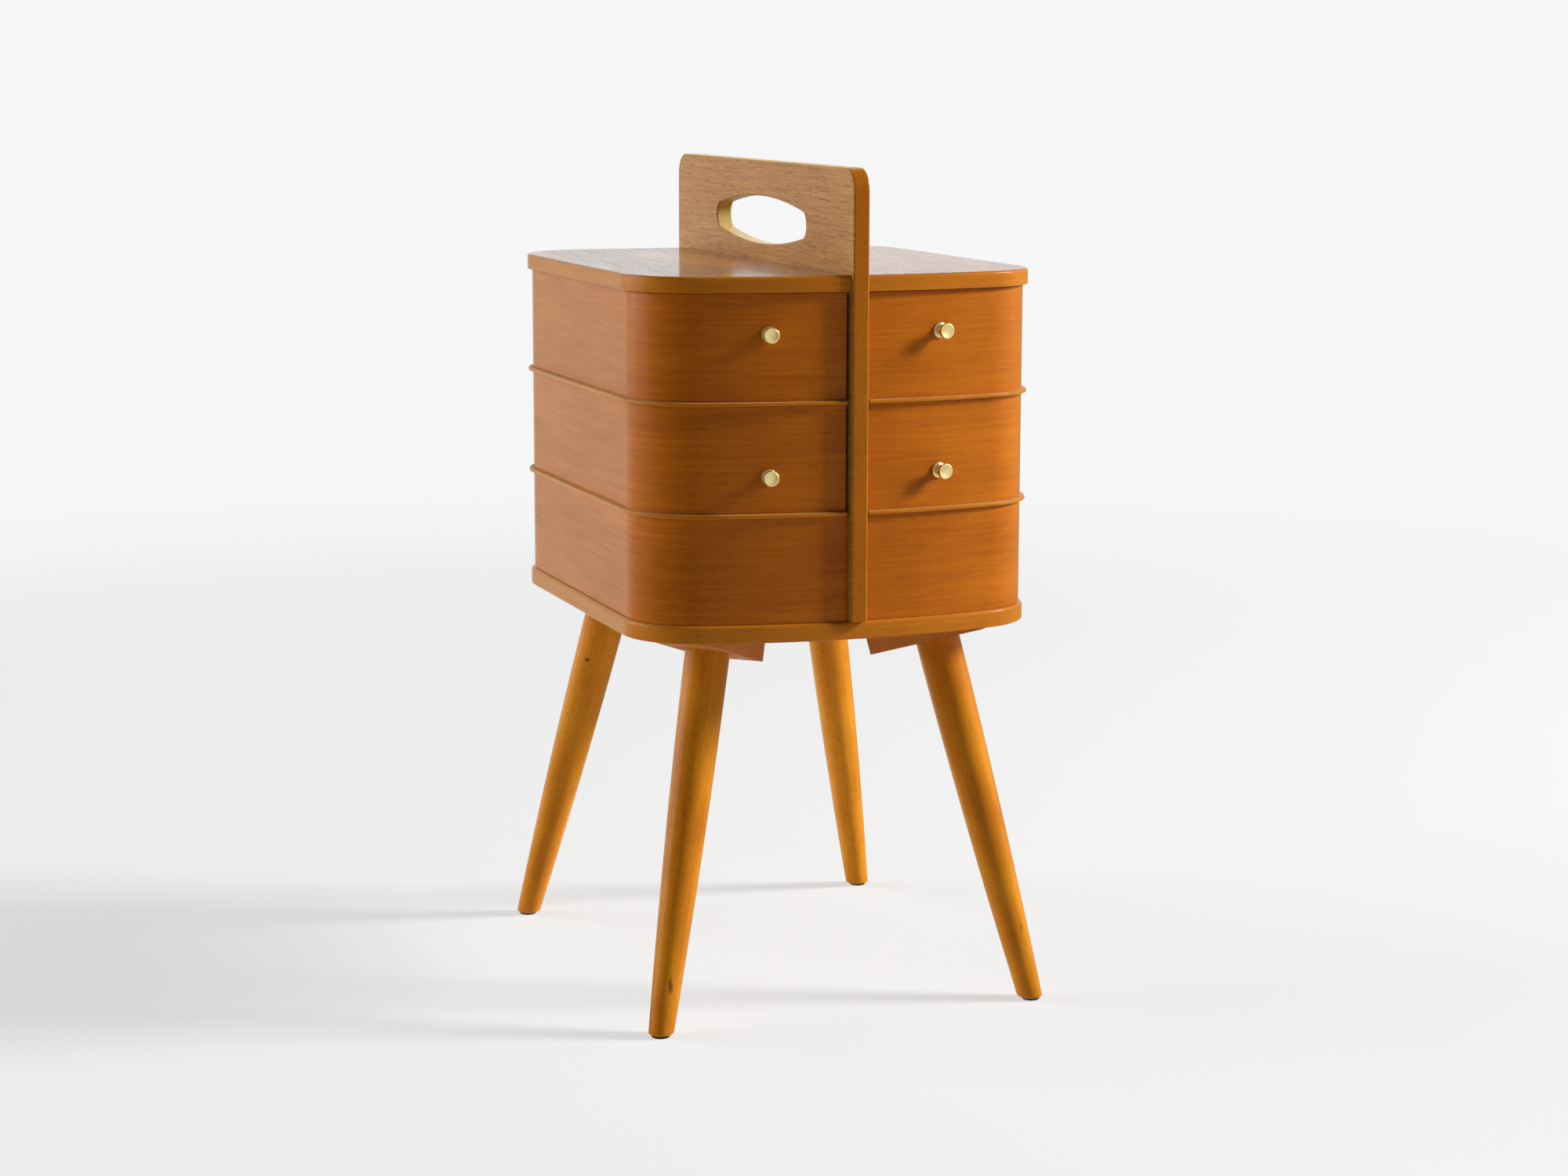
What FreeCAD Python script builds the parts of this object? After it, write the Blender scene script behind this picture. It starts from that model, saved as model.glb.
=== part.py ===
import FreeCAD, Part
import math
import os
import Sketcher

# Sewing box on four splayed legs, in millimetres, +Z up, standing on z = 0.
# The handle panel lies in the plane x = 0 and its middle is at y = 0. The front faces -Y.
# Three tiers of bentwood trays hang on each side of the panel. The bottom tier is fixed to the
# base board, and each tray above it swings outwards on a brass butt hinge behind the box.

DIMENSIONS = {
    # The base board seen from above
    "body_width": 340.0,
    "front_radius": 480.0,
    "corner_radius": 62.0,
    # Base board
    "base_underside": 313.0,
    "base_thickness": 14.4,
    "base_rounding": 3.0,
    # Handle panel and its hand hole
    "panel_thickness": 13.5,
    "panel_depth": 439.0,
    "panel_nose": 4.5,
    "panel_tail": 31.5,
    "panel_rise": 82.5,
    "panel_corner": 18.0,
    "panel_easing": 1.5,
    "hole_length": 235.0,
    "hole_height": 39.0,
    "hole_rise": 34.4,
    "hole_arch": 850.0,
    "hole_bulge": 2.5,
    "hole_corner": 12.0,
    # Lid halves
    "lid_thickness": 13.0,
    "lid_overhang": 4.0,
    "lid_rounding": 2.5,
    "lid_easing": 0.8,
    # Trays
    "wall_setback": 3.0,
    "wall_thickness": 5.0,
    "wall_height": 84.0,
    "side_thickness": 6.0,
    "side_gap": 2.6,
    "floor_thickness": 3.2,
    "floor_overhang": 4.0,
    "floor_rounding": 1.1,
    "tier_clearance": 0.5,
    # Hinges
    "pin_offset": 3.0,
    "pin_radius": 1.3,
    "pin_clearance": 0.05,
    "pin_end": 0.6,
    "knuckle_gap": 0.3,
    "leaf_height": 60.0,
    "leaf_width": 22.0,
    "leaf_thickness": 1.2,
    "leaf_corner": 2.0,
    "leaf_screw_reach": 13.5,
    "leaf_screw_pitch": 20.0,
    "hinge_block_width": 18.0,
    "hinge_block_depth": 10.0,
    "hinge_block_margin": 6.0,
    "hinge_block_chamfer": 4.0,
    # Knobs
    "knob_offset": 71.5,
    "knob_from_joint": 55.5,
    "knob_radius": 7.0,
    "knob_waist": 3.6,
    "knob_length": 12.0,
    "knob_flange": 1.6,
    "knob_head": 3.0,
    "knob_dish": 0.9,
    "knob_rim": 1.3,
    "knob_easing": 0.4,
    # Legs, their wedges and their glides
    "leg_side_inset": 73.7,
    "leg_front_inset": 78.3,
    "leg_back_inset": 60.7,
    "leg_splay_angle": 16.5,
    "leg_turn_angle": 46.2,
    "leg_foot_radius": 9.7,
    "leg_top_radius": 18.2,
    "leg_swell": 1.6,
    "leg_rounding": 2.0,
    "tenon_radius": 11.0,
    "tenon_length": 13.0,
    "tenon_clearance": 0.1,
    "wedge_thickness": 17.7,
    "wedge_width": 54.0,
    "wedge_inner": 50.0,
    "wedge_tip": 2.0,
    "glide_margin": 2.2,
    "glide_thickness": 2.0,
    "glide_easing": 0.6,
    # Dowels and screws
    "dowel_radius": 4.0,
    "dowel_grip": 13.25,
    "dowel_pitch": 140.0,
    "panel_screw_radius": 2.25,
    "panel_screw_grip": 30.6,
    "panel_screw_pitch": 110.0,
    "wedge_screw_radius": 2.0,
    "wedge_screw_grip": 10.0,
    "wedge_screw_inset": 16.0,
    "wedge_screw_spread": 15.0,
    "leaf_screw_radius": 1.2,
    "tray_screw_grip": 5.8,
    "panel_leaf_screw_grip": 5.2,
    "screw_head_ratio": 2.0,
    "knob_screw_radius": 2.0,
    "knob_screw_grip": 6.0,
    "knob_screw_head": 3.8,
    "knob_screw_head_height": 2.4,
    "knob_screw_clearance": 0.05,
}

KNUCKLES = 5
DOWELS = 3
PANEL_SCREWS = 4
LEAF_SCREWS = 3
LEG_CUTS = 4

# Two lengths closer than this are the same
NEAR = 1e-4

doc = FreeCAD.newDocument("sewing_box")
sheet = doc.addObject("Spreadsheet::Sheet", "Sizes")
for row, (alias, number) in enumerate(DIMENSIONS.items(), start=1):
    sheet.set(f"A{row}", alias.replace("_", " "))
    sheet.set(f"B{row}", str(number))
    sheet.setAlias(f"B{row}", alias)
doc.recompute()


class Size:
    """A number together with the formula on the sheet that gives it."""

    def __init__(self, number, formula):
        self.number = number
        self.formula = formula

    @staticmethod
    def of(value):
        """A plain number as a size, and a size as it is."""
        return value if isinstance(value, Size) else Size(float(value), str(value))

    def __add__(self, other):
        other = Size.of(other)
        return Size(self.number + other.number, f"({self.formula} + {other.formula})")

    def __sub__(self, other):
        other = Size.of(other)
        return Size(self.number - other.number, f"({self.formula} - {other.formula})")

    def __mul__(self, other):
        other = Size.of(other)
        return Size(self.number * other.number, f"({self.formula} * {other.formula})")

    def __truediv__(self, other):
        other = Size.of(other)
        return Size(self.number / other.number, f"({self.formula} / {other.formula})")

    def __neg__(self):
        return Size(-self.number, f"(0 - {self.formula})")


def root(size):
    """The square root of a size."""
    return Size(math.sqrt(size.number), f"sqrt({size.formula})")


def cosine(size):
    """The cosine of an angle in degrees."""
    return Size(math.cos(math.radians(size.number)), f"cos({size.formula})")


def tangent(size):
    """The tangent of an angle in degrees."""
    return Size(math.tan(math.radians(size.number)), f"tan({size.formula})")


class Sizes:
    """The sheet's cells by their names."""

    def __getattr__(self, alias):
        return Size(float(getattr(sheet, alias)), f"Sizes.{alias}")


S = Sizes()
ZERO = Size(0.0, "0")

# Heights above the floor, from the base board up
BASE_TOP = S.base_underside + S.base_thickness
TIER_PITCH = S.floor_thickness + S.wall_height + S.tier_clearance
MIDDLE_FLOOR = BASE_TOP + S.wall_height + S.tier_clearance
TOP_FLOOR = MIDDLE_FLOOR + TIER_PITCH
LID_UNDERSIDE = TOP_FLOOR + TIER_PITCH
LID_TOP = LID_UNDERSIDE + S.lid_thickness
PANEL_TOP = LID_TOP + S.panel_rise

# Distances from the plane of symmetry
PANEL_FACE = S.panel_thickness / 2
TRAY_INNER = PANEL_FACE + S.side_gap
PIN_X = PANEL_FACE + S.pin_offset

# The ends of the base board
BODY_FRONT = S.panel_depth / 2 - S.panel_nose
BODY_BACK = S.panel_depth / 2 - S.panel_tail

# Outlines are the base board's own, moved inwards by these amounts
BASE_INSET = ZERO
WALL_INSET = S.wall_setback
WALL_INSIDE = S.wall_setback + S.wall_thickness
LID_INSET = S.wall_setback - S.lid_overhang
FLOOR_INSET = S.wall_setback - S.floor_overhang

# The trays stand as far from the hinge pins as the panel does
PIN_Y = BODY_BACK - S.wall_setback + S.pin_offset
KNUCKLE_RADIUS = S.pin_offset - S.knuckle_gap
HINGE_BLOCK_HEIGHT = S.leaf_height + S.hinge_block_margin * 2

# Every arc of the front is struck from one centre on the plane of symmetry
FRONT_CENTRE = S.front_radius - BODY_FRONT


def bind(thing, name, size):
    """Tie one property of an object to the sheet."""
    thing.setExpression(name, size.formula)


def new_body(label):
    """An empty body with the sub-part's own name."""
    body = doc.addObject("PartDesign::Body", label)
    body.Label = label
    return body


def plane(body, role):
    """One of a body's own origin planes."""
    return next(item for item in body.Origin.OriginFeatures if item.Role == role)


class Drawing:
    """A sketch on one of its body's planes, drawn at size and tied to the sheet."""

    def __init__(self, body, role="XY_Plane", lift=ZERO):
        self.sketch = body.newObject("Sketcher::SketchObject", body.Name + "_sketch")
        self.sketch.AttachmentSupport = [(plane(body, role), "")]
        self.sketch.MapMode = "FlatFace"
        self.sketch.AttachmentOffset = FreeCAD.Placement(
            FreeCAD.Vector(0, 0, lift.number), FreeCAD.Rotation())
        bind(self.sketch, "AttachmentOffset.Base.z", lift)

    def line(self, start, end):
        """A straight line."""
        return self.sketch.addGeometry(Part.LineSegment(point(start), point(end)))

    def arc(self, start, middle, end):
        """An arc through three points."""
        return self.sketch.addGeometry(Part.Arc(point(start), point(middle), point(end)))

    def circle(self, centre, radius):
        """A whole circle, placed and sized."""
        shape = Part.Circle(point(centre), FreeCAD.Vector(0, 0, 1), radius.number)
        circle = self.sketch.addGeometry(shape)
        self.place(circle, 3, centre)
        self.measure("Radius", radius, circle)
        return circle

    def end_at(self, item, where):
        """Which end of a line or arc lies at a point."""
        start = self.sketch.getPoint(item, 1)
        return 1 if start.distanceToPoint(point(where)) < NEAR else 2

    def join(self, first, second, where, kind="Coincident"):
        """Join two items where they meet, with a corner or smoothly."""
        ends = (first, self.end_at(first, where), second, self.end_at(second, where))
        self.sketch.addConstraint(Sketcher.Constraint(kind, *ends))

    def measure(self, kind, size, *places):
        """A dimension that follows the sheet."""
        index = self.sketch.addConstraint(Sketcher.Constraint(kind, *places, size.number))
        bind(self.sketch, f"Constraints[{index}]", size)

    def place(self, item, end, where):
        """Fix one point of an item by its two distances from the origin."""
        for kind, size in zip(("DistanceX", "DistanceY"), where):
            if size.number == 0 and size.formula == "0":
                axis = -2 if kind == "DistanceX" else -1
                self.sketch.addConstraint(Sketcher.Constraint("PointOnObject", item, end, axis))
            else:
                self.measure(kind, size, -1, 1, item, end)

    def polygon(self, corners):
        """A closed outline of straight lines with every corner fixed."""
        pairs = list(zip(corners, corners[1:] + corners[:1]))
        sides = [self.line(start, end) for start, end in pairs]
        for number, corner in enumerate(corners):
            self.join(sides[number - 1], sides[number], corner)
            self.place(sides[number], 1, corner)
        return sides


def point(where):
    """A point of a drawing from two sizes."""
    return FreeCAD.Vector(where[0].number, where[1].number, 0)


def extrude(body, kind, drawing, length=None, symmetric=False, reverse=False):
    """A Pad or a Pocket of a drawing, to a length or, for a pocket, through everything."""
    feature = body.newObject("PartDesign::" + kind, body.Name + "_" + kind.lower())
    feature.Profile = drawing.sketch
    feature.SideType = "Symmetric" if symmetric else "One side"
    feature.Reversed = reverse
    if length is None:
        feature.Type = "ThroughAll"
    else:
        feature.Type = "Length"
        bind(feature, "Length", length)
    drawing.sketch.Visibility = False
    doc.recompute()
    return feature


def revolve(body, drawing):
    """A solid turned about the body's own Z axis."""
    feature = body.newObject("PartDesign::Revolution", body.Name + "_turning")
    feature.Profile = drawing.sketch
    feature.ReferenceAxis = (drawing.sketch, ["V_Axis"])
    feature.Angle = 360
    doc.recompute()
    return feature


def edges_where(feature, test):
    """The names of a feature's edges whose middle point and direction pass a test."""
    names = []
    for number, edge in enumerate(feature.Shape.Edges, start=1):
        middle = edge.valueAt((edge.FirstParameter + edge.LastParameter) / 2)
        if test(edge, middle):
            names.append(f"Edge{number}")
    return names


def soften(body, feature, size, test, kind="Fillet"):
    """Round or chamfer the edges that pass a test."""
    dressed = body.newObject("PartDesign::" + kind, body.Name + "_" + kind.lower())
    dressed.Base = (feature, edges_where(feature, test))
    bind(dressed, "Radius" if kind == "Fillet" else "Size", size)
    doc.recompute()
    return dressed


def close(first, second):
    """Whether two numbers are the same length."""
    return abs(first - second) < NEAR


def level(edge, height):
    """Whether an edge lies flat at a height."""
    return all(close(corner.Z, height) for corner in edge.Vertexes)


def crosswise(edge):
    """Whether an edge is a straight line along X."""
    box = edge.BoundBox
    return box.XLength > NEAR and box.YLength < NEAR and box.ZLength < NEAR


def upright(edge):
    """Whether an edge is a straight line along Z."""
    box = edge.BoundBox
    return box.ZLength > NEAR and box.XLength < NEAR and box.YLength < NEAR


def at(x=ZERO, y=ZERO, z=ZERO, turn="rotationz(0)"):
    """The formula of a placement: a place, and a turn about the axes."""
    return f"placement(vector({x.formula}; {y.formula}; {z.formula}); {turn})"


def about(axis, degrees):
    """The formula of a turn about one axis, in degrees."""
    return f"rotation{axis}({Size.of(degrees).formula})"


def put(thing, *places):
    """Place a piece, each place being read in the frame of the one before it."""
    thing.setExpression("Placement", " * ".join(places))


def evenly(count, pitch):
    """Places along a line at a pitch, with the middle of the row at zero."""
    return [pitch * (number - (count - 1) / 2) for number in range(count)]


# The outline of the box

def front_at(inset, across):
    """How far back the front curve lies at a distance from the plane of symmetry."""
    radius = S.front_radius - inset
    return FRONT_CENTRE - root(radius * radius - across * across)


def corner_centre():
    """The centre of the front corners, which touch the front curve and the side."""
    across = S.body_width / 2 - S.corner_radius
    reach = S.front_radius - S.corner_radius
    return across, FRONT_CENTRE - root(reach * reach - across * across)


def arc_middle(centre, radius, start, end):
    """The middle of an arc, for drawing it through three points."""
    turn = (start + end) / 2
    return (Size.of(centre[0].number + radius.number * math.cos(turn)),
            Size.of(centre[1].number + radius.number * math.sin(turn)))


def half_outline(body, inset, inner, lift=ZERO):
    """The right half of the box seen from above, from a distance beside the panel outwards."""
    side = S.body_width / 2 - inset
    back = BODY_BACK - inset
    corner = S.corner_radius - inset
    front = S.front_radius - inset
    centre = (ZERO, FRONT_CENTRE)
    across, ahead = corner_centre()
    behind = back - corner
    start = (inner, front_at(inset, inner))
    first = math.atan2(start[1].number - FRONT_CENTRE.number, inner.number)
    turn = math.atan2(ahead.number - FRONT_CENTRE.number, across.number)
    touch = arc_middle(centre, front, turn, turn)
    side_front = (side, ahead)
    side_back = (side, behind)
    back_outer = (across, back)
    back_inner = (inner, back)
    drawing = Drawing(body, lift=lift)
    bow = drawing.arc(start, arc_middle(centre, front, first, turn), touch)
    bend = drawing.arc(touch, arc_middle((across, ahead), corner, turn, 0), side_front)
    flank = drawing.line(side_front, side_back)
    turn_back = drawing.arc(side_back, arc_middle((across, behind), corner, 0, math.pi / 2),
                            back_outer)
    rear = drawing.line(back_outer, back_inner)
    cheek = drawing.line(back_inner, start)
    drawing.join(bow, bend, touch, "Tangent")
    drawing.join(bend, flank, side_front, "Tangent")
    drawing.join(flank, turn_back, side_back, "Tangent")
    drawing.join(turn_back, rear, back_outer, "Tangent")
    drawing.join(rear, cheek, back_inner)
    drawing.join(cheek, bow, start)
    add = drawing.sketch.addConstraint
    add(Sketcher.Constraint("Vertical", flank))
    add(Sketcher.Constraint("Horizontal", rear))
    add(Sketcher.Constraint("Vertical", cheek))
    drawing.place(bow, 3, centre)
    drawing.measure("Radius", front, bow)
    drawing.measure("Radius", corner, bend)
    drawing.measure("Radius", corner, turn_back)
    drawing.measure("DistanceX", side, -1, 1, flank, 1)
    drawing.place(rear, drawing.end_at(rear, back_inner), back_inner)
    return drawing


def mirrored(source, label):
    """The left-hand twin of a right-hand piece."""
    twin = doc.addObject("Part::Mirroring", label)
    twin.Label = label
    twin.Source = source
    twin.Base = (0, 0, 0)
    twin.Normal = (1, 0, 0)
    return twin


def group(label, pieces):
    """Several separate solids that share one name."""
    compound = doc.addObject("Part::Compound", label)
    compound.Label = label
    compound.Links = pieces
    return compound


def seated(body, tools, label):
    """A piece with the holes that its dowels or screws fill."""
    cut = doc.addObject("Part::Cut", label)
    cut.Label = label
    cut.Base = body
    if len(tools) == 1:
        cut.Tool = tools[0]
    else:
        cut.Tool = group(label + "_holes", tools)
    return cut


def rod(name, radius, height, *places):
    """A round rod that runs up its own Z axis."""
    piece = doc.addObject("Part::Cylinder", name)
    piece.Label = name
    bind(piece, "Radius", radius)
    bind(piece, "Height", height)
    put(piece, *places)
    return piece


def fused(name, first, second, places):
    """Two solids made one."""
    whole = doc.addObject("Part::Fuse", name)
    whole.Label = name
    whole.Base = first
    whole.Tool = second
    whole.Refine = True
    put(whole, *places)
    return whole


def screw(name, radius, length, places):
    """A countersunk screw, its head flush at its own origin and its shank along -Z."""
    head_radius = radius * S.screw_head_ratio
    depth = head_radius - radius
    shank = rod(name + "_shank", radius, length, at(z=-length))
    head = doc.addObject("Part::Cone", name + "_head")
    bind(head, "Radius1", radius)
    bind(head, "Radius2", head_radius)
    bind(head, "Height", depth)
    put(head, at(z=-depth))
    return fused(name, shank, head, places)


# The boards

def make_base_board():
    """One board with a bowed front, rounded corners and a rounded upper rim."""
    body = new_body("base_board_blank")
    half = extrude(body, "Pad", half_outline(body, BASE_INSET, ZERO), S.base_thickness)
    whole = body.newObject("PartDesign::Mirrored", "base_board_mirror")
    whole.Originals = [half]
    whole.MirrorPlane = (plane(body, "YZ_Plane"), [""])
    body.Tip = whole
    doc.recompute()
    top = S.base_thickness.number
    soften(body, whole, S.base_rounding, lambda edge, middle: level(edge, top))
    put(body, at(z=S.base_underside))
    return body


def make_panel():
    """The upright board that carries everything, with a barrel-shaped hand hole."""
    body = new_body("centre_panel_blank")
    reach = S.panel_depth / 2
    drawing = Drawing(body, "YZ_Plane")
    drawing.polygon([(-reach, BASE_TOP), (reach, BASE_TOP), (reach, PANEL_TOP), (-reach, PANEL_TOP)])
    slab = extrude(body, "Pad", drawing, S.panel_thickness, symmetric=True)
    top = PANEL_TOP.number
    soften(body, slab, S.panel_corner,
                     lambda edge, middle: crosswise(edge) and close(middle.z, top))
    hole = hand_hole(body)
    opened = extrude(body, "Pocket", hole, symmetric=True)
    middle_height = (LID_TOP + S.hole_rise).number
    rounded = soften(body, opened, S.hole_corner,
                     lambda edge, middle: crosswise(edge)
                     and abs(middle.z - middle_height) < S.hole_height.number / 2
                     and abs(middle.y) < reach.number - NEAR)
    face = PANEL_FACE.number
    base = BASE_TOP.number
    soften(body, rounded, S.panel_easing,
           lambda edge, middle: close(abs(middle.x), face) and edge.BoundBox.XLength < NEAR
           and middle.z > base + NEAR)
    return body


def hand_hole(body):
    """A long barrel: shallow arches above and below, and slightly bulging ends."""
    centre = LID_TOP + S.hole_rise
    half_length = S.hole_length / 2
    half_height = S.hole_height / 2
    shoulder = half_length - S.hole_bulge
    drop = S.hole_arch - root(S.hole_arch * S.hole_arch - shoulder * shoulder)
    rise = half_height - drop
    above = centre + rise
    below = centre - rise
    drawing = Drawing(body, "YZ_Plane")
    corners = [(-shoulder, below), (shoulder, below), (shoulder, above), (-shoulder, above)]
    crowns = [(ZERO, centre - half_height), (half_length, centre),
              (ZERO, centre + half_height), (-half_length, centre)]
    ends = corners[1:] + corners[:1]
    arcs = [drawing.arc(*three) for three in zip(corners, crowns, ends)]
    bulge = (rise * rise + S.hole_bulge * S.hole_bulge) / (S.hole_bulge * 2)
    for number, corner in enumerate(corners):
        drawing.join(arcs[number - 1], arcs[number], corner)
        drawing.place(arcs[number], drawing.end_at(arcs[number], corner), corner)
        drawing.measure("Radius", bulge if number % 2 else S.hole_arch, arcs[number])
    return drawing


def make_lid():
    """The right half of the lid, butted against the panel."""
    body = new_body("lid_right_blank")
    slab = extrude(body, "Pad", half_outline(body, LID_INSET, PANEL_FACE), S.lid_thickness)
    top = S.lid_thickness.number
    inner = PANEL_FACE.number
    rim = soften(body, slab, S.lid_rounding,
                 lambda edge, middle: level(edge, top) and middle.x > inner + NEAR)
    soften(body, rim, S.lid_easing,
           lambda edge, middle: (level(edge, 0) and middle.x > inner + NEAR)
           or (level(edge, top) and close(middle.x, inner)))
    put(body, at(z=LID_UNDERSIDE))
    return body


# The trays

def make_wall(label, inner):
    """A bentwood strip that runs round three sides of a tray."""
    body = new_body(label)
    extrude(body, "Pad", half_outline(body, WALL_INSET, inner), S.wall_height)
    inside = half_outline(body, WALL_INSIDE, inner - S.side_thickness, S.wall_height)
    extrude(body, "Pocket", inside)
    return body


def make_side(label, inner):
    """The straight board beside the panel, held between the two ends of the wall."""
    body = new_body(label)
    outer = inner + S.side_thickness
    back = BODY_BACK - WALL_INSIDE
    radius = S.front_radius - WALL_INSIDE
    near = (inner, front_at(WALL_INSIDE, inner))
    between = inner + S.side_thickness / 2
    far = (outer, front_at(WALL_INSIDE, outer))
    drawing = Drawing(body)
    bow = drawing.arc(near, (between, front_at(WALL_INSIDE, between)), far)
    outside = drawing.line(far, (outer, back))
    rear = drawing.line((outer, back), (inner, back))
    cheek = drawing.line((inner, back), near)
    drawing.join(bow, outside, far)
    drawing.join(outside, rear, (outer, back))
    drawing.join(rear, cheek, (inner, back))
    drawing.join(cheek, bow, near)
    drawing.place(bow, 3, (ZERO, FRONT_CENTRE))
    drawing.measure("Radius", radius, bow)
    drawing.place(rear, 1, (outer, back))
    drawing.place(rear, 2, (inner, back))
    drawing.sketch.addConstraint(Sketcher.Constraint("Vertical", outside))
    drawing.sketch.addConstraint(Sketcher.Constraint("Vertical", cheek))
    extrude(body, "Pad", drawing, S.wall_height)
    return body


def make_floor(label):
    """A thin board under a tray whose rounded edge shows as a bead."""
    body = new_body(label)
    slab = extrude(body, "Pad", half_outline(body, FLOOR_INSET, TRAY_INNER), S.floor_thickness)
    inner = TRAY_INNER.number
    top = S.floor_thickness.number
    soften(body, slab, S.floor_rounding,
           lambda edge, middle: (level(edge, 0) or level(edge, top)) and middle.x > inner + NEAR)
    return body


def make_hinge_block(label):
    """The strip inside the corner that takes the hinge's screws."""
    body = new_body(label)
    inner = TRAY_INNER + S.side_thickness
    outer = inner + S.hinge_block_width
    back = BODY_BACK - WALL_INSIDE
    front = back - S.hinge_block_depth
    drawing = Drawing(body)
    drawing.polygon([(inner, front), (outer, front), (outer, back), (inner, back)])
    strip = extrude(body, "Pad", drawing, HINGE_BLOCK_HEIGHT)
    soften(body, strip, S.hinge_block_chamfer,
           lambda edge, middle: upright(edge) and close(middle.x, outer.number)
           and close(middle.y, front.number), "Chamfer")
    return body


# The hinges

def make_leaf(label, first):
    """One leaf of a butt hinge, flat against x = -pin_offset and centred on its pin."""
    body = new_body(label)
    bottom = -(S.leaf_height / 2)
    near = -S.pin_offset
    far = near + S.leaf_thickness
    edge_y = S.pin_offset
    pitch = S.leaf_height / KNUCKLES
    plate = Drawing(body, lift=bottom)
    plate.polygon([(near, edge_y), (far, edge_y), (far, S.leaf_width), (near, S.leaf_width)])
    flat = extrude(body, "Pad", plate, S.leaf_height)
    lift = bottom + pitch * first + S.knuckle_gap / 2
    tongue = Drawing(body, lift=lift)
    tongue.polygon([(near, ZERO), (far, ZERO), (far, edge_y), (near, edge_y)])
    strap = extrude(body, "Pad", tongue, pitch - S.knuckle_gap)
    barrel = Drawing(body, lift=lift)
    barrel.circle((ZERO, ZERO), KNUCKLE_RADIUS)
    knuckle = extrude(body, "Pad", barrel, pitch - S.knuckle_gap)
    row = body.newObject("PartDesign::LinearPattern", label + "_row")
    row.Originals = [strap, knuckle]
    row.Direction = (barrel.sketch, ["N_Axis"])
    row.Occurrences = (KNUCKLES + 1) // 2 - first
    reach = pitch * 2 * (row.Occurrences - 1)
    bind(row, "Length", reach)
    body.Tip = row
    doc.recompute()
    bore = Drawing(body, lift=-bottom)
    bore.circle((ZERO, ZERO), S.pin_radius + S.pin_clearance)
    bored = extrude(body, "Pocket", bore)
    half = S.leaf_height.number / 2
    outside = S.leaf_width.number
    soften(body, bored, S.leaf_corner,
           lambda edge, middle: crosswise(edge) and close(abs(middle.z), half)
           and close(middle.y, outside))
    return body


def make_pin(name, height):
    """The steel pin of one hinge, a little longer than its knuckles."""
    foot = height - S.leaf_height / 2 - S.pin_end
    return rod(name, S.pin_radius, S.leaf_height + S.pin_end * 2, at(PIN_X, PIN_Y, foot))


def leaf_screws(name, hinge, grip, turn):
    """The screws of one hinge leaf, driven through it along the leaf's own normal."""
    surface = S.pin_offset - S.leaf_thickness
    screws = []
    for number, height in enumerate(evenly(LEAF_SCREWS, S.leaf_screw_pitch)):
        seat = at(-surface, S.leaf_screw_reach, height, about("y", 90))
        screws.append(screw(f"{name}_{number}", S.leaf_screw_radius, S.leaf_thickness + grip,
                            [hinge, turn, seat]))
    return screws


# The knobs

def make_knob(label):
    """A spool-shaped knob: flange, hollow waist and a dished head, turned about Z."""
    body = new_body(label)
    drawing = Drawing(body, "XZ_Plane")
    rim = S.knob_radius
    length = S.knob_length
    head = length - S.knob_head
    waist_height = (S.knob_flange + head) / 2
    dish = length - S.knob_dish
    inner_rim = rim - S.knob_rim
    corners = [(ZERO, ZERO), (rim, ZERO), (rim, S.knob_flange), (rim, head), (rim, length),
               (inner_rim, length), (ZERO, dish)]
    base = drawing.line(corners[0], corners[1])
    flange = drawing.line(corners[1], corners[2])
    waist = drawing.arc(corners[2], (S.knob_waist, waist_height), corners[3])
    side = drawing.line(corners[3], corners[4])
    lip = drawing.line(corners[4], corners[5])
    half_dish = (Size.of(inner_rim.number / 2), Size.of(dish.number + S.knob_dish.number / 4))
    bowl = drawing.arc(corners[5], half_dish, corners[6])
    axis = drawing.line(corners[6], corners[0])
    loop = [base, flange, waist, side, lip, bowl, axis]
    for number, corner in enumerate(corners):
        drawing.join(loop[number - 1], loop[number], corner)
        drawing.place(loop[number], drawing.end_at(loop[number], corner), corner)
    hollow = rim - S.knob_waist
    half = (head - S.knob_flange) / 2
    drawing.measure("Radius", (hollow * hollow + half * half) / (hollow * 2), waist)
    drawing.measure("Radius", (inner_rim * inner_rim + S.knob_dish * S.knob_dish)
                    / (S.knob_dish * 2), bowl)
    turned = revolve(body, drawing)
    soften(body, turned, S.knob_easing,
           lambda edge, middle: level(edge, length.number) or level(edge, head.number)
           or level(edge, S.knob_flange.number), "Chamfer")
    return body


def knob_seat(height):
    """Square to the curved front, at the knob's place on a right-hand tray."""
    radius = S.front_radius - WALL_INSET
    turn = f"rotationz(asin({(S.knob_offset / radius).formula})) * rotationx(90)"
    return at(S.knob_offset, front_at(WALL_INSET, S.knob_offset), height, turn)


def make_knob_screw(label, seat):
    """A pan-head screw from inside the tray through its wall into the knob."""
    inside = S.wall_thickness + S.knob_screw_clearance
    shank = rod(label + "_shank", S.knob_screw_radius, inside + S.knob_screw_grip, at(z=-inside))
    head = rod(label + "_head", S.knob_screw_head, S.knob_screw_head_height,
               at(z=-(inside + S.knob_screw_head_height)))
    return fused(label, shank, head, [seat])


# The legs

def leg_frame(left_right, front_back):
    """A leg's frame: origin on the base's underside, Z up the leg, X outwards."""
    across = (S.body_width / 2 - S.leg_side_inset) * left_right
    along = BODY_BACK - S.leg_back_inset if front_back > 0 else S.leg_front_inset - BODY_FRONT
    heading = S.leg_turn_angle * front_back
    if left_right < 0:
        heading = Size.of(180) - heading
    turn = f"{about('z', heading)} * {about('y', -S.leg_splay_angle)}"
    return at(across, along, S.base_underside, turn)


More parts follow.
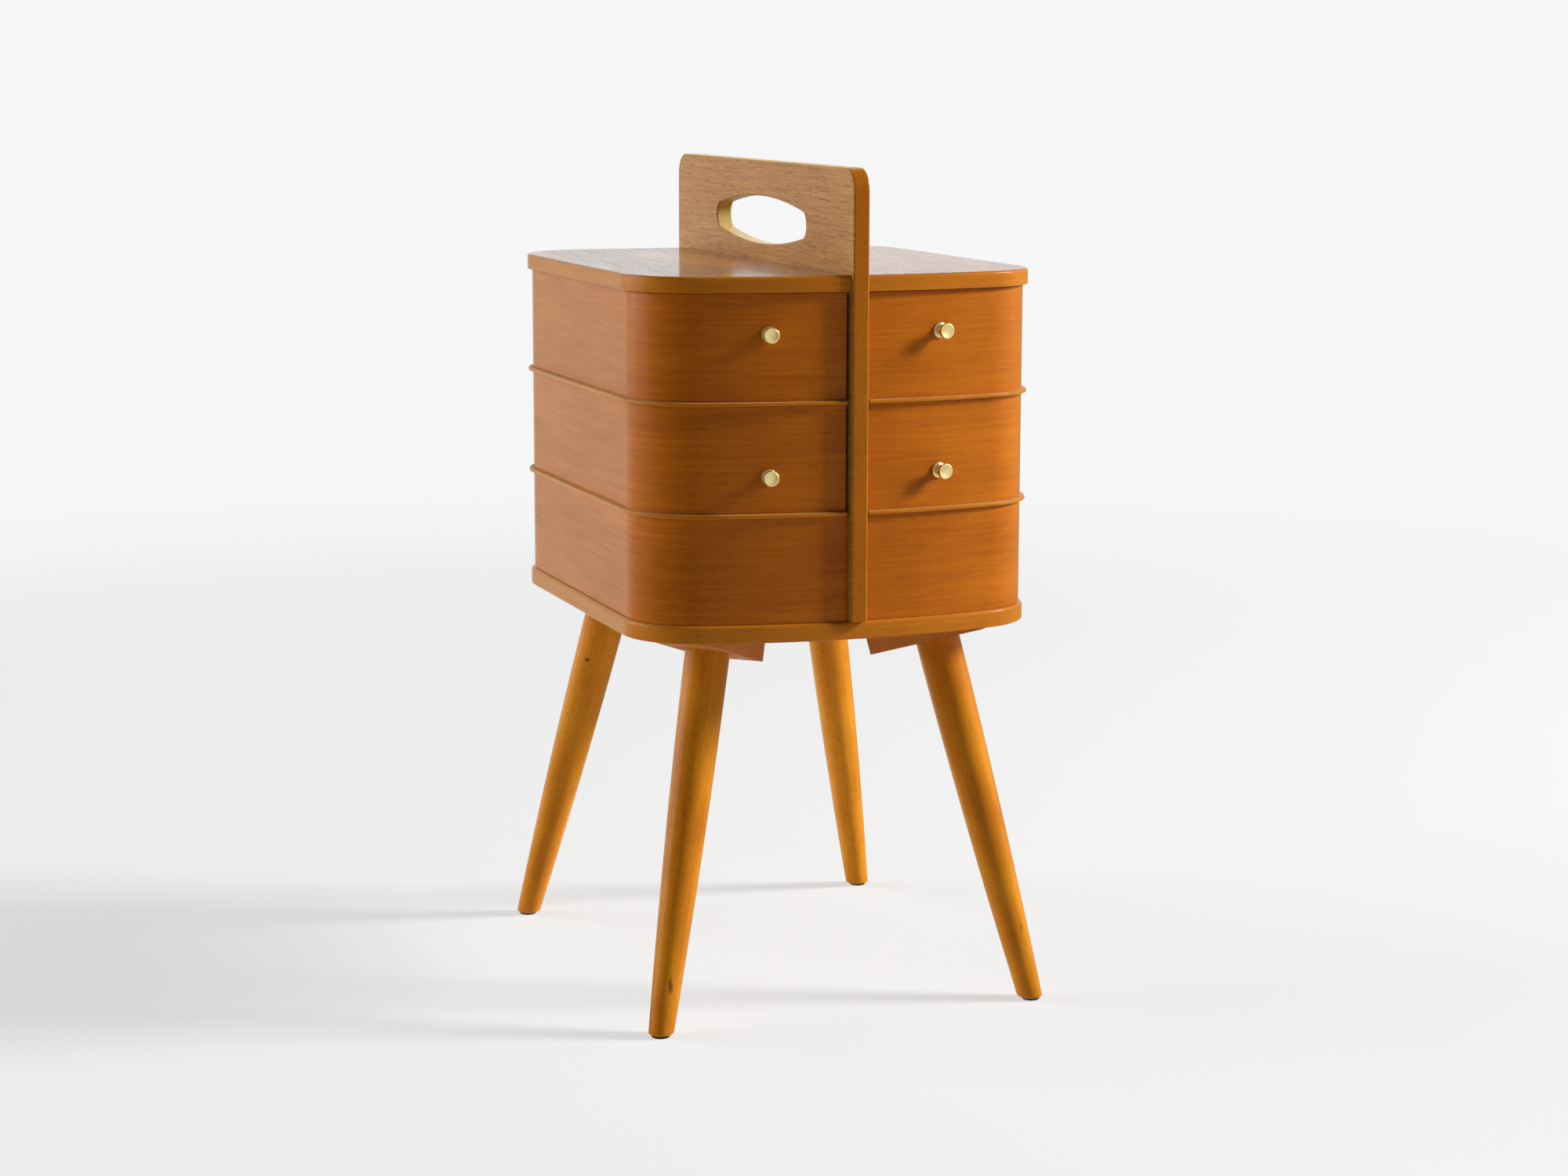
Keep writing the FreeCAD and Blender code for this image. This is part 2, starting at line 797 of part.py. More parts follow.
def foot_line(across, height):
    """Where a level plane crosses the leg's frame, below the base's underside."""
    return -((S.base_underside - height) / cosine(S.leg_splay_angle)) - across * tangent(S.leg_splay_angle)


def leg_side(toe, shoulder):
    """Points up the leg's side, which bellies out between its ends along a parabola."""
    points = []
    for cut in range(LEG_CUTS + 1):
        share = cut / LEG_CUTS
        belly = S.leg_swell * (4 * share * (1 - share))
        taper = (S.leg_top_radius - S.leg_foot_radius) * share
        points.append((S.leg_foot_radius + taper + belly, toe + (shoulder - toe) * share))
    return points


def make_leg(label):
    """A round leg, swelling gently between its ends, with a tenon and a level foot."""
    body = new_body(label)
    shoulder = -S.wedge_thickness
    toe = foot_line(S.leg_foot_radius * 2, ZERO)
    tenon_top = shoulder + S.tenon_length
    drawing = Drawing(body, "XZ_Plane")
    drawing.polygon([(ZERO, toe)] + leg_side(toe, shoulder)
                    + [(S.tenon_radius, shoulder), (S.tenon_radius, tenon_top), (ZERO, tenon_top)])
    revolve(body, drawing)
    wide = S.leg_foot_radius * 2
    ground = Drawing(body, "XZ_Plane")
    ground.polygon([(-wide, toe - wide), (wide, toe - wide),
                    (wide, foot_line(wide, S.glide_thickness)),
                    (-wide, foot_line(-wide, S.glide_thickness))])
    levelled = extrude(body, "Pocket", ground, symmetric=True)
    soften(body, levelled, S.leg_rounding,
           lambda edge, middle: close(middle.z, foot_line(Size.of(middle.x), S.glide_thickness).number))
    return body


def make_wedge(label):
    """The block under the base, cut so that its lower face is square to the leg."""
    body = new_body(label)
    slope = tangent(S.leg_splay_angle)
    outer = (S.wedge_thickness - S.wedge_tip) / slope
    inner = -S.wedge_inner
    below = -S.wedge_thickness
    drawing = Drawing(body, "XZ_Plane")
    drawing.polygon([(inner, below), (outer, below), (outer, -(outer * slope)),
                     (inner, -(inner * slope))])
    extrude(body, "Pad", drawing, S.wedge_width, symmetric=True)
    mortise = Drawing(body, lift=below)
    mortise.circle((ZERO, ZERO), S.tenon_radius + S.tenon_clearance)
    extrude(body, "Pocket", mortise, S.tenon_length + S.tenon_clearance, reverse=True)
    return body


def wedge_screws(name, frame):
    """Two screws up through the thick end of a wedge into the base board."""
    inwards = S.wedge_inner - S.wedge_screw_inset
    length = S.wedge_thickness + inwards * tangent(S.leg_splay_angle) + S.wedge_screw_grip
    screws = []
    for side in (-1, 1):
        seat = at(-inwards, S.wedge_screw_spread * side, -S.wedge_thickness, about("x", 180))
        screws.append(screw(f"{name}_{side + 1}", S.wedge_screw_radius, length, [frame, seat]))
    return screws


def make_glide(label):
    """A low round glide with an eased lower edge."""
    body = new_body(label)
    drawing = Drawing(body)
    drawing.circle((ZERO, ZERO), S.leg_foot_radius - S.glide_margin)
    disc = extrude(body, "Pad", drawing, S.glide_thickness)
    soften(body, disc, S.glide_easing, lambda edge, middle: level(edge, 0), "Chamfer")
    return body


# The assembly

def make_legs():
    """Four legs with their wedges, screws and glides."""
    pieces = []
    screws = []
    glides = []
    for front_back, end in ((-1, "front"), (1, "back")):
        for left_right, side in ((-1, "left"), (1, "right")):
            name = f"{end}_{side}"
            frame = leg_frame(left_right, front_back)
            leg = make_leg(f"leg_{name}")
            put(leg, frame)
            wedge = make_wedge(f"wedge_{name}_blank")
            put(wedge, frame)
            pair = wedge_screws(f"wedge_screw_{name}", frame)
            glide = make_glide(f"glide_{name}")
            put(glide, frame, at(z=foot_line(ZERO, ZERO), turn=about("y", S.leg_splay_angle)))
            pieces += [leg, seated(wedge, pair, f"leg_wedge_{name}")]
            screws += pair
            glides.append(glide)
    return pieces, screws, group("foot_glides", glides)


def make_tray(tier, floor_height, knob_height):
    """One right-hand swinging tray with its hinge, and the same tray mirrored."""
    name = f"{tier}_right"
    rim = floor_height + S.floor_thickness
    hinge_height = rim + S.wall_height / 2
    hinge = at(PIN_X, PIN_Y, hinge_height)
    swap = at(turn="rotation(vector(1; 1; 0); 180)")
    seat = knob_seat(knob_height)
    knob_screw = make_knob_screw(f"{name}_knob_screw", seat)
    tray_screws = leaf_screws(f"{name}_leaf_screw", hinge, S.wall_thickness + S.tray_screw_grip, swap)
    panel_screws = leaf_screws(f"{name}_panel_screw", hinge, S.panel_leaf_screw_grip, at())

    wall = make_wall(f"{name}_wall_blank", TRAY_INNER)
    put(wall, at(z=rim))
    side = make_side(f"{name}_inner_side", TRAY_INNER)
    put(side, at(z=rim))
    floor = make_floor(f"{name}_floor")
    put(floor, at(z=floor_height))
    block = make_hinge_block(f"{name}_hinge_block_blank")
    put(block, at(z=hinge_height - HINGE_BLOCK_HEIGHT / 2))
    knob = make_knob(f"{name}_knob_blank")
    put(knob, seat)
    panel_leaf = make_leaf(f"{name}_panel_leaf_blank", 0)
    put(panel_leaf, hinge)
    tray_leaf = make_leaf(f"{name}_tray_leaf_blank", 1)
    put(tray_leaf, hinge, swap)

    tray = [
        seated(wall, tray_screws + [knob_screw], f"{name}_wall"),
        side,
        floor,
        seated(block, tray_screws, f"{name}_hinge_block"),
        seated(knob, [knob_screw], f"{name}_knob"),
        knob_screw,
        seated(tray_leaf, tray_screws, f"{name}_tray_leaf"),
        group(f"{name}_tray_leaf_screws", tray_screws),
        seated(panel_leaf, panel_screws, f"{name}_panel_leaf"),
    ]
    pin = make_pin(f"{name}_pin", hinge_height)
    twins = [mirrored(piece, piece.Label.replace("_right", "_left")) for piece in tray]
    pins = [pin, mirrored(pin, f"{tier}_left_pin")]
    screws = panel_screws + [mirrored(item, f"{tier}_left_panel_screw_{number}")
                             for number, item in enumerate(panel_screws)]
    return tray + twins, pins, screws


def make_bottom_trays():
    """The fixed trays of the bottom tier, glued to the base board and the panel."""
    pieces = []
    for piece in (make_wall("bottom_right_wall", PANEL_FACE),
                  make_side("bottom_right_inner_side", PANEL_FACE)):
        put(piece, at(z=BASE_TOP))
        pieces += [piece, mirrored(piece, piece.Label.replace("_right", "_left"))]
    return pieces


def make_dowels():
    """Dowels that run through the panel into both halves of the lid."""
    reach = PANEL_FACE + S.dowel_grip
    height = LID_UNDERSIDE + S.lid_thickness / 2
    return [rod(f"lid_dowel_{number}", S.dowel_radius, reach * 2,
                at(-reach, along, height, about("y", 90)))
            for number, along in enumerate(evenly(DOWELS, S.dowel_pitch))]


def make_panel_screws():
    """Screws up through the base board into the foot of the panel."""
    length = S.base_thickness + S.panel_screw_grip
    return [screw(f"panel_screw_{number}", S.panel_screw_radius, length,
                  [at(ZERO, along, S.base_underside, about("x", 180))])
            for number, along in enumerate(evenly(PANEL_SCREWS, S.panel_screw_pitch))]


def build():
    """Every sub-part of the sewing box."""
    legs, wedge_screw_list, glides = make_legs()
    middle = make_tray("middle", MIDDLE_FLOOR, TOP_FLOOR - S.knob_from_joint)
    top = make_tray("top", TOP_FLOOR, TOP_FLOOR + S.knob_from_joint)
    dowels = make_dowels()
    panel_screws = make_panel_screws()
    leaf_screw_list = middle[2] + top[2]
    lid = seated(make_lid(), dowels, "lid_right")
    return legs + middle[0] + top[0] + make_bottom_trays() + [
        glides,
        group("wedge_screws", wedge_screw_list),
        seated(make_base_board(), panel_screws + wedge_screw_list, "base_board"),
        seated(make_panel(), dowels + panel_screws + leaf_screw_list, "centre_panel"),
        lid,
        mirrored(lid, "lid_left"),
        group("lid_dowels", dowels),
        group("panel_screws", panel_screws),
        group("hinge_pins", middle[1] + top[1]),
        group("panel_leaf_screws", leaf_screw_list),
    ]


def check():
    """Stop if any object of the document failed to build."""
    for item in doc.Objects:
        if "Invalid" in item.State or "Error" in item.State:
            raise RuntimeError(f"{item.Label} failed: {item.State}")


def write(pieces):
    """Write each sub-part to a file with its own name."""
    os.makedirs("parts", exist_ok=True)
    for piece in pieces:
        shape = piece.Shape
        if shape.isNull() or not shape.isValid() or shape.Volume <= 0:
            raise RuntimeError(f"{piece.Label} has no valid shape")
        shape.exportStep(f"parts/{piece.Label}.step")


sub_parts = build()
doc.recompute()
check()
write(sub_parts)
print(len(sub_parts), "sub-parts")
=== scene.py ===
"""The looks of the sewing box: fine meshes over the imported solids, finishes, studio and camera.

Lengths are in metres. The box stands on z = 0, the handle panel lies in the plane x = 0 and the
curved front faces -Y.
"""

import logging
import math
from collections.abc import Iterable
from dataclasses import dataclass, field, replace
from enum import Enum

import bmesh
import bpy
from mathutils import Matrix, Vector


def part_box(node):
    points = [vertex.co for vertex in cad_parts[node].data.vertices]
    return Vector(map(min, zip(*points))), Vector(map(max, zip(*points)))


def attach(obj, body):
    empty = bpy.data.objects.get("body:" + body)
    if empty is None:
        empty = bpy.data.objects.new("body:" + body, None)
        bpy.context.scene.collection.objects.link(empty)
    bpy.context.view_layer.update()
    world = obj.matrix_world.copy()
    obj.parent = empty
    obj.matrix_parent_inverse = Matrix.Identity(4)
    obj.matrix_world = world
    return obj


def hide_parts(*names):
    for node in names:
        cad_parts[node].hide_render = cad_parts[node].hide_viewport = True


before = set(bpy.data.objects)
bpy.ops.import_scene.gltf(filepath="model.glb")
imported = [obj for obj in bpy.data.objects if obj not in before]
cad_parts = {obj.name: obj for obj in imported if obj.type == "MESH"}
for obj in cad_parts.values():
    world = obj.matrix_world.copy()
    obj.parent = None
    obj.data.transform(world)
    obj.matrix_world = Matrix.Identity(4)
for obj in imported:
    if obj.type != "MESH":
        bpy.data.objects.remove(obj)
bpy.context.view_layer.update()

LOG = logging.getLogger("sewing_box")
MM = 0.001
Colour = tuple[float, float, float, float]
Pair = tuple[float, float]


class Side(Enum):
    """Which half of the box a piece belongs to, with the sign of its x."""

    LEFT = -1
    RIGHT = 1

    @property
    def word(self) -> str:
        """The side's name as it stands in the nodes' names."""
        return self.name.lower()


class Grain(Enum):
    """How the grain runs in a piece."""

    BENT = "level, round the sides of a bent strip"
    DEPTH = "from front to back"
    LEG = "along a leg"


# Shader graphs


class Value:
    """A number socket that takes part in sums, so that shader maths reads like maths."""

    def __init__(self, graph: "Graph", socket: bpy.types.NodeSocket) -> None:
        """Keeps an output socket that gives a number, and the graph that it belongs to."""
        self.graph = graph
        self.socket = socket

    def _math(self, operation: str, first: "Value | float", second: "Value | float") -> "Value":
        """The result of one Math node on two numbers."""
        node = self.graph.node("ShaderNodeMath", {"operation": operation}, {0: first, 1: second})
        return Value(self.graph, node.outputs[0])

    def __add__(self, other: "Value | float") -> "Value":
        """This plus a number."""
        return self._math("ADD", self, other)

    def __radd__(self, other: float) -> "Value":
        """A number plus this."""
        return self._math("ADD", other, self)

    def __sub__(self, other: "Value | float") -> "Value":
        """This less a number."""
        return self._math("SUBTRACT", self, other)

    def __rsub__(self, other: float) -> "Value":
        """A number less this."""
        return self._math("SUBTRACT", other, self)

    def __mul__(self, other: "Value | float") -> "Value":
        """This times a number."""
        return self._math("MULTIPLY", self, other)

    def __rmul__(self, other: float) -> "Value":
        """A number times this."""
        return self._math("MULTIPLY", other, self)

    def ramp(self, low: float, high: float) -> "Value":
        """Rises smoothly from 0 at one value to 1 at another.

        Args:
            low: The value that gives 0.
            high: The value that gives 1. It may be the lower one.

        Returns:
            A number from 0 to 1.
        """
        settings = {"interpolation_type": "SMOOTHSTEP"}
        inputs = {"Value": self, "From Min": low, "From Max": high}
        return Value(self.graph, self.graph.node("ShaderNodeMapRange", settings, inputs).outputs[0])


class Graph:
    """The node tree of a material or a world, filled through one method."""

    def __init__(self, owner: bpy.types.Material | bpy.types.World) -> None:
        """Empties the owner's tree.

        Args:
            owner: A new material or world.
        """
        self.owner = owner
        owner.use_nodes = True
        self.tree = owner.node_tree
        self.tree.nodes.clear()

    @classmethod
    def of_material(cls, name: str) -> "Graph":
        """The empty graph of a new material."""
        return cls(bpy.data.materials.new(name))

    def node(self, kind: str, settings: dict | None = None, inputs: dict | None = None) -> bpy.types.Node:
        """Adds one node.

        Args:
            kind: The node's type.
            settings: Its properties, set before its sockets.
            inputs: Values or links of its sockets, by name or number.

        Returns:
            The new node.
        """
        node = self.tree.nodes.new(kind)
        for key, value in (settings or {}).items():
            setattr(node, key, value)
        for key, value in (inputs or {}).items():
            if isinstance(value, Value):
                self.tree.links.new(value.socket, node.inputs[key])
            elif isinstance(value, bpy.types.NodeSocket):
                self.tree.links.new(value, node.inputs[key])
            else:
                node.inputs[key].default_value = value
        return node

    def place(self) -> bpy.types.NodeSocket:
        """The point of the surface in the object's own frame."""
        return self.node("ShaderNodeTexCoord").outputs["Object"]

    def axes(self, place: bpy.types.NodeSocket) -> tuple[Value, ...]:
        """The three coordinates of a point."""
        split = self.node("ShaderNodeSeparateXYZ", None, {0: place})
        return tuple(Value(self, socket) for socket in split.outputs)

    def ray(self, kind: str) -> Value:
        """1 on rays of one kind and 0 on others."""
        return Value(self, self.node("ShaderNodeLightPath").outputs[f"Is {kind} Ray"])

    def vector(self, operation: str, *operands: bpy.types.NodeSocket | Vector) -> bpy.types.Node:
        """A Vector Math node on one or two vectors."""
        return self.node("ShaderNodeVectorMath", {"operation": operation}, dict(enumerate(operands)))

    def along(self, place: bpy.types.NodeSocket, direction: Vector) -> Value:
        """How far a point lies along a direction, which is a unit vector."""
        return Value(self, self.vector("DOT_PRODUCT", place, direction).outputs["Value"])

    def join(self, x: Value, y: Value, z: Value) -> bpy.types.NodeSocket:
        """Three numbers as one vector."""
        return self.node("ShaderNodeCombineXYZ", None, {0: x, 1: y, 2: z}).outputs[0]

    def noise(self, where: bpy.types.NodeSocket, detail: float = 2.0, roughness: float = 0.5) -> Value:
        """Cloudy noise of unit scale, about 0.5, with finer layers by its detail and roughness."""
        inputs = {"Vector": where, "Scale": 1.0, "Detail": detail, "Roughness": roughness}
        return Value(self, self.node("ShaderNodeTexNoise", None, inputs).outputs[0])

    def blend(self, factor: Value, first: bpy.types.NodeSocket | Colour,
              second: bpy.types.NodeSocket | Colour) -> bpy.types.NodeSocket:
        """A mix of two colours: the first where the factor is 0, the second where it is 1."""
        node = self.node("ShaderNodeMix", {"data_type": "RGBA"}, {0: factor, 6: first, 7: second})
        return node.outputs[2]

    def near(self, place: bpy.types.NodeSocket, spot: Vector, stretch: Vector) -> Value:
        """How near a point is to a spot, in a frame that is stretched along the axes.

        Args:
            place: The point.
            spot: The middle of the spot.
            stretch: The spot's half sizes in metres.

        Returns:
            0 at the middle and 1 on the spot's edge.
        """
        off = self.vector("SUBTRACT", place, spot).outputs[0]
        scaled = self.vector("DIVIDE", off, stretch).outputs[0]
        return Value(self, self.vector("LENGTH", scaled).outputs["Value"])

    def bump(self, height: Value, depth: float) -> bpy.types.NodeSocket:
        """A normal that is tilted by a height from 0 to 1, of which 1 is so many metres deep."""
        node = self.node("ShaderNodeBump", None, {"Strength": 1.0, "Distance": depth, "Height": height})
        return node.outputs[0]

    def finish(self, **sockets: Value | bpy.types.NodeSocket | Colour | float) -> bpy.types.Material:
        """Closes the tree with one Principled shader.

        Args:
            sockets: The shader's sockets, with _ for a space.

        Returns:
            The material.
        """
        inputs = {key.replace("_", " "): value for key, value in sockets.items()}
        shader = self.node("ShaderNodeBsdfPrincipled", None, inputs)
        self.node("ShaderNodeOutputMaterial", None, {"Surface": shader.outputs[0]})
        return self.owner


def tint(red: int, green: int, blue: int) -> Colour:
    """A colour as it looks on a screen, as the linear colour of a shader.

    Args:
        red: From 0 to 255.
        green: From 0 to 255.
        blue: From 0 to 255.

    Returns:
        The linear colour with an alpha of 1.
    """
    parts = [part / 255 for part in (red, green, blue)]
    linear = [part / 12.92 if part <= 0.04045 else ((part + 0.055) / 1.055) ** 2.4 for part in parts]
    return (linear[0], linear[1], linear[2], 1.0)


# Finishes


# The golden bloom of old lacquer that is seen at a slant
BLOOM_TINT = tint(255, 228, 110)
BLOOM_ROUGHNESS = 0.35

# How long the bands and the streaks are
BAND_LENGTH = 500 * MM
STREAK_LENGTH = 90 * MM

# Noise that bends the grain, and clouds in the stain: cells per metre along and across the grain
DRIFT_CELLS = (4.0, 9.0)
CLOUD_CELLS = (14.0, 26.0)
DRIFT = 12 * MM

# The values of a noise between which a mark appears
SOFT = (0.25, 0.75)
CLOUDY = (0.3, 0.7)
PITTED = (0.58, 0.72)
WORN = (0.35, 0.65)


@dataclass(frozen=True)
class Mark:
    """A dark mark in the wood, such as a knot or a stain."""

    spot: Vector
    size: Vector
    strength: float = 0.7


@dataclass(frozen=True)
class WoodFinish:
    """Stained and lacquered beech: soft bands, fine streaks and short dark pores along the grain."""

    name: str
    pale: Colour
    deep: Colour
    pore: Colour
    band_width: float = 45 * MM
    streak_width: float = 2.4 * MM
    pore_width: float = 0.55 * MM
    pore_length: float = 7 * MM
    pore_strength: float = 0.55
    streak_strength: float = 0.45
    cloud_strength: float = 0.2
    roughness: float = 0.42
    gloss: float = 0.05
    bloom: float = 0.7
    coat: float = 1.0
    coat_roughness: float = 0.22
    coat_ior: float = 1.16
    wear: float = 0.1
    relief: float = 0.03 * MM

    def made(self, grain: Grain, axis: Vector | None = None,
             mark: Mark | None = None) -> bpy.types.Material:
        """Makes the finish for one way that the grain runs.

        Args:
            grain: How the grain runs.
            axis: The leg's direction, for a leg.
            mark: A dark mark at a chosen place.

        Returns:
            The material.
        """
        graph = Graph.of_material(f"{self.name}_{grain.name.lower()}")
        place = graph.place()
        runs, across, other = self._directions(graph, place, grain, axis)
        bent = across + self._layer((runs, across, other), DRIFT_CELLS, 1.0, 0.5) * DRIFT
        ways = (runs, bent, other)
        bands = self._layer(ways, (1 / BAND_LENGTH, 1 / self.band_width), 2.0)
        streaks = self._layer(ways, (1 / STREAK_LENGTH, 1 / self.streak_width), 3.0)
        pores = self._layer(ways, (1 / self.pore_length, 1 / self.pore_width), 1.0)
        clouds = self._layer(ways, CLOUD_CELLS, 3.0, 0.5)
        tone = (bands.ramp(*SOFT) * (1 - self.streak_strength - self.cloud_strength)
                + streaks.ramp(*SOFT) * self.streak_strength
                + clouds.ramp(*CLOUDY) * self.cloud_strength)
        colour = graph.blend(tone, self.deep, self.pale)
        pits = pores.ramp(*PITTED) * self.pore_strength
        colour = graph.blend(pits, colour, self.pore)
        if mark:
            edge = graph.near(place, mark.spot, mark.size) + (streaks - 0.5) * 0.9
            colour = graph.blend(edge.ramp(1.0, 0.3) * mark.strength, colour, self.pore)
        return graph.finish(
            Base_Color=colour,
            Roughness=self.roughness + (0.5 - tone) * 0.08 + pits * 0.15,
            Specular_IOR_Level=self.gloss,
            Sheen_Weight=self.bloom,
            Sheen_Roughness=BLOOM_ROUGHNESS,
            Sheen_Tint=BLOOM_TINT,
            Coat_Weight=self.coat * (1 - pits * 0.7 - (1 - streaks.ramp(*WORN)) * self.wear),
            Coat_Roughness=self.coat_roughness,
            Coat_IOR=self.coat_ior,
            Normal=graph.bump(1 - pits, self.relief),
        )

    @staticmethod
    def _directions(graph: Graph, place: bpy.types.NodeSocket, grain: Grain,
                    axis: Vector | None) -> tuple[Value, Value, Value]:
        """Distances along the grain and across it.

        Args:
            graph: The material's graph.
            place: The point of the surface.
            grain: How the grain runs.
            axis: The leg's direction, for a leg.

        Returns:
            The distance along the grain and two distances across it.
        """
        x, y, z = graph.axes(place)
        if grain is Grain.DEPTH:
            return y, z, x
        if grain is Grain.LEG:
            first = axis.cross(Vector((0, 1, 0))).normalized()
            return graph.along(place, axis), graph.along(place, first), graph.along(place, axis.cross(first))
        return x + y * 0.93, z, (x - y) * 0.02

    @staticmethod
    def _layer(ways: tuple[Value, Value, Value], cells: Pair, detail: float, roughness: float = 0.6) -> Value:
        """One layer of marks that are long along the grain and narrow across it.

        Args:
            ways: The distance along the grain and two distances across it.
            cells: How many cells the noise has per metre, along the grain and across it.
            detail: How many finer layers it has.
            roughness: How strong the finer layers are.

        Returns:
            A number about 0.5.
        """
        runs, across, other = ways
        graph = runs.graph
        where = graph.join(runs * cells[0], across * cells[1], other * cells[1])
        return graph.noise(where, detail, roughness)


@dataclass(frozen=True)
class MetalFinish:
    """A turned or rolled metal with faint tool marks."""

    name: str
    colour: Colour
    dull: Colour
    roughness: float = 0.3
    metallic: float = 1.0
    patch: float = 6 * MM
    tool_cells: Pair = (900.0, 3000.0)
    tool_depth: float = 0.004 * MM

    def made(self) -> bpy.types.Material:
        """Makes the material."""
        graph = Graph.of_material(self.name)
        x, y, z = graph.axes(graph.place())
        cells = 1 / self.patch
        level, upright = self.tool_cells
        cloud = graph.noise(graph.join(x * cells, y * cells, z * cells), 3.0)
        fine = graph.noise(graph.join(x * level, y * level, z * upright), 2.0)
        colour = graph.blend(cloud.ramp(0.35, 0.75), self.colour, self.dull)
        return graph.finish(
            Base_Color=colour,
            Metallic=self.metallic,
            Roughness=self.roughness + (cloud - 0.5) * 0.2,
            Normal=graph.bump(fine, self.tool_depth),
        )


HONEY = WoodFinish("honey_beech", tint(208, 115, 12), tint(168, 84, 5), tint(118, 52, 2), pore_strength=0.35)
LID_TOP = WoodFinish("lid_veneer", tint(182, 112, 36), tint(146, 80, 18), tint(84, 42, 8),
                     pore_strength=0.75, roughness=0.4, bloom=0.0, coat_roughness=0.12, coat_ior=1.36,
                     wear=0.25, relief=0.08 * MM)
RIM = WoodFinish("rim_beech", tint(206, 124, 24), tint(182, 100, 11), tint(126, 62, 6), pore_strength=0.35)
PANEL = WoodFinish("panel_veneer", tint(206, 144, 60), tint(158, 99, 31), tint(94, 52, 14),
                   pore_strength=0.8, streak_width=1.7 * MM, streak_strength=0.7, cloud_strength=0.1,
                   pore_length=16 * MM, bloom=0.5, relief=0.05 * MM)
PANEL_EDGE = WoodFinish("panel_lipping", tint(192, 110, 8), tint(166, 88, 4), tint(108, 52, 2),
                        pore_strength=0.35)
# The inside of the hand hole: painted paler and yellower, painted light for the light that falls through the
# hole onto it
LIT_HOLE = WoodFinish("lit_hole_edge", tint(216, 190, 120), tint(200, 166, 96), tint(154, 116, 54),
                  pore_strength=0.4, bloom=0.3)
LEG = WoodFinish("leg_beech", tint(230, 148, 26), tint(184, 100, 10), tint(96, 46, 8), band_width=14 * MM,
                 streak_width=2.2 * MM, streak_strength=0.25, cloud_strength=0.5, pore_length=3 * MM,
                 pore_strength=0.5, bloom=1.0)
# Copy of the leg finish for the back legs, painted paler: painted light for the light that reaches the back
# legs under the box
LIT_BACK_LEG = replace(LEG, name="lit_back_leg_beech", pale=tint(242, 160, 36), deep=tint(200, 112, 18),
                   pore=tint(110, 56, 10))
WEDGE = WoodFinish("wedge_wood", tint(230, 143, 52), tint(194, 105, 32), tint(116, 60, 24),
                   roughness=0.7, gloss=0.4, bloom=0.1, coat=0.0, relief=0.08 * MM)
INSIDE = WoodFinish("inside_wood", tint(214, 176, 128), tint(190, 148, 100), tint(150, 108, 68),
                    roughness=0.62, gloss=0.4, bloom=0.1, coat=0.1, relief=0.06 * MM)
GOLD = MetalFinish("knob_gold", tint(244, 220, 154), tint(234, 208, 142), roughness=0.36)
BRASS = MetalFinish("hinge_brass", tint(206, 170, 96), tint(186, 148, 80), roughness=0.34, patch=14 * MM)
STEEL = MetalFinish("screw_steel", tint(176, 174, 168), tint(146, 141, 132), roughness=0.36)
PLASTIC = MetalFinish("glide_plastic", tint(34, 27, 22), tint(24, 20, 17), roughness=0.6, metallic=0.0)


# Meshes


# Points this close are one, and points this close to a cutting plane lie in it
CLOSE = 1e-6
LEVEL = 1e-7
ROUND_STEPS = 48
UP = Vector((0, 0, 1))


@dataclass(frozen=True)
class Rounding:
    """A rounded edge."""

    radius: float
    segments: int


class Pen:
    """A point that draws edges as it moves over a plane."""

    def __init__(self, mesh: bmesh.types.BMesh, start: Vector) -> None:
        """Puts the first point.

        Args:
            mesh: The mesh that it draws in.
            start: Where it starts.
        """
        self.mesh = mesh
        self.first = mesh.verts.new(start)
        self.tip = self.first

    def line(self, end: Vector) -> None:
        """Draws a straight edge to a point."""
        self.tip = bmesh.ops.extrude_vert_indiv(self.mesh, verts=[self.tip])["verts"][0]
        self.tip.co = end

    def lines(self, points: Iterable[Pair]) -> None:
        """Draws straight edges through points of the plane y = 0, each given by its x and z."""
        for across, height in points:
            self.line(Vector((across, 0, height)))

    def arc(self, centre: Vector, axis: Vector, angle: float, steps: int) -> None:
        """Draws an arc of so many edges about an axis through its centre, by an angle in radians."""
        made = bmesh.ops.spin(self.mesh, geom=[self.tip], cent=centre, axis=axis, angle=angle, steps=steps)
        self.tip = next(item for item in made["geom_last"] if isinstance(item, bmesh.types.BMVert))

    def close(self) -> None:
        """Joins the last point to the first."""
        self.mesh.edges.new((self.tip, self.first))


def fill(mesh: bmesh.types.BMesh) -> None:
    """Fills the one closed loop of edges that a mesh holds with one face."""
    bmesh.ops.contextual_create(mesh, geom=mesh.edges[:])


def thicken(mesh: bmesh.types.BMesh, shift: Vector) -> None:
    """Draws a flat figure out into a solid.

    Args:
        mesh: The mesh with the figure, or with its outline alone.
        shift: How far and which way the solid runs.
    """
    if not mesh.faces:
        fill(mesh)
    made = bmesh.ops.extrude_face_region(mesh, geom=mesh.faces[:])
    corners = [item for item in made["geom"] if isinstance(item, bmesh.types.BMVert)]
    bmesh.ops.translate(mesh, vec=shift, verts=corners)
    bmesh.ops.recalc_face_normals(mesh, faces=mesh.faces[:])


def revolve(mesh: bmesh.types.BMesh) -> None:
    """Turns a profile that is drawn in the plane y = 0 once round the upright axis."""
    bmesh.ops.spin(mesh, geom=mesh.verts[:] + mesh.edges[:], cent=(0, 0, 0), axis=UP, angle=2 * math.pi,
                   steps=ROUND_STEPS, use_merge=True)
    bmesh.ops.remove_doubles(mesh, verts=mesh.verts[:], dist=CLOSE)


def arc_radius(half_chord: float, height: float) -> float:
    """The radius of an arc, from half its chord and its height over the chord."""
    return (half_chord ** 2 + height ** 2) / (2 * height)


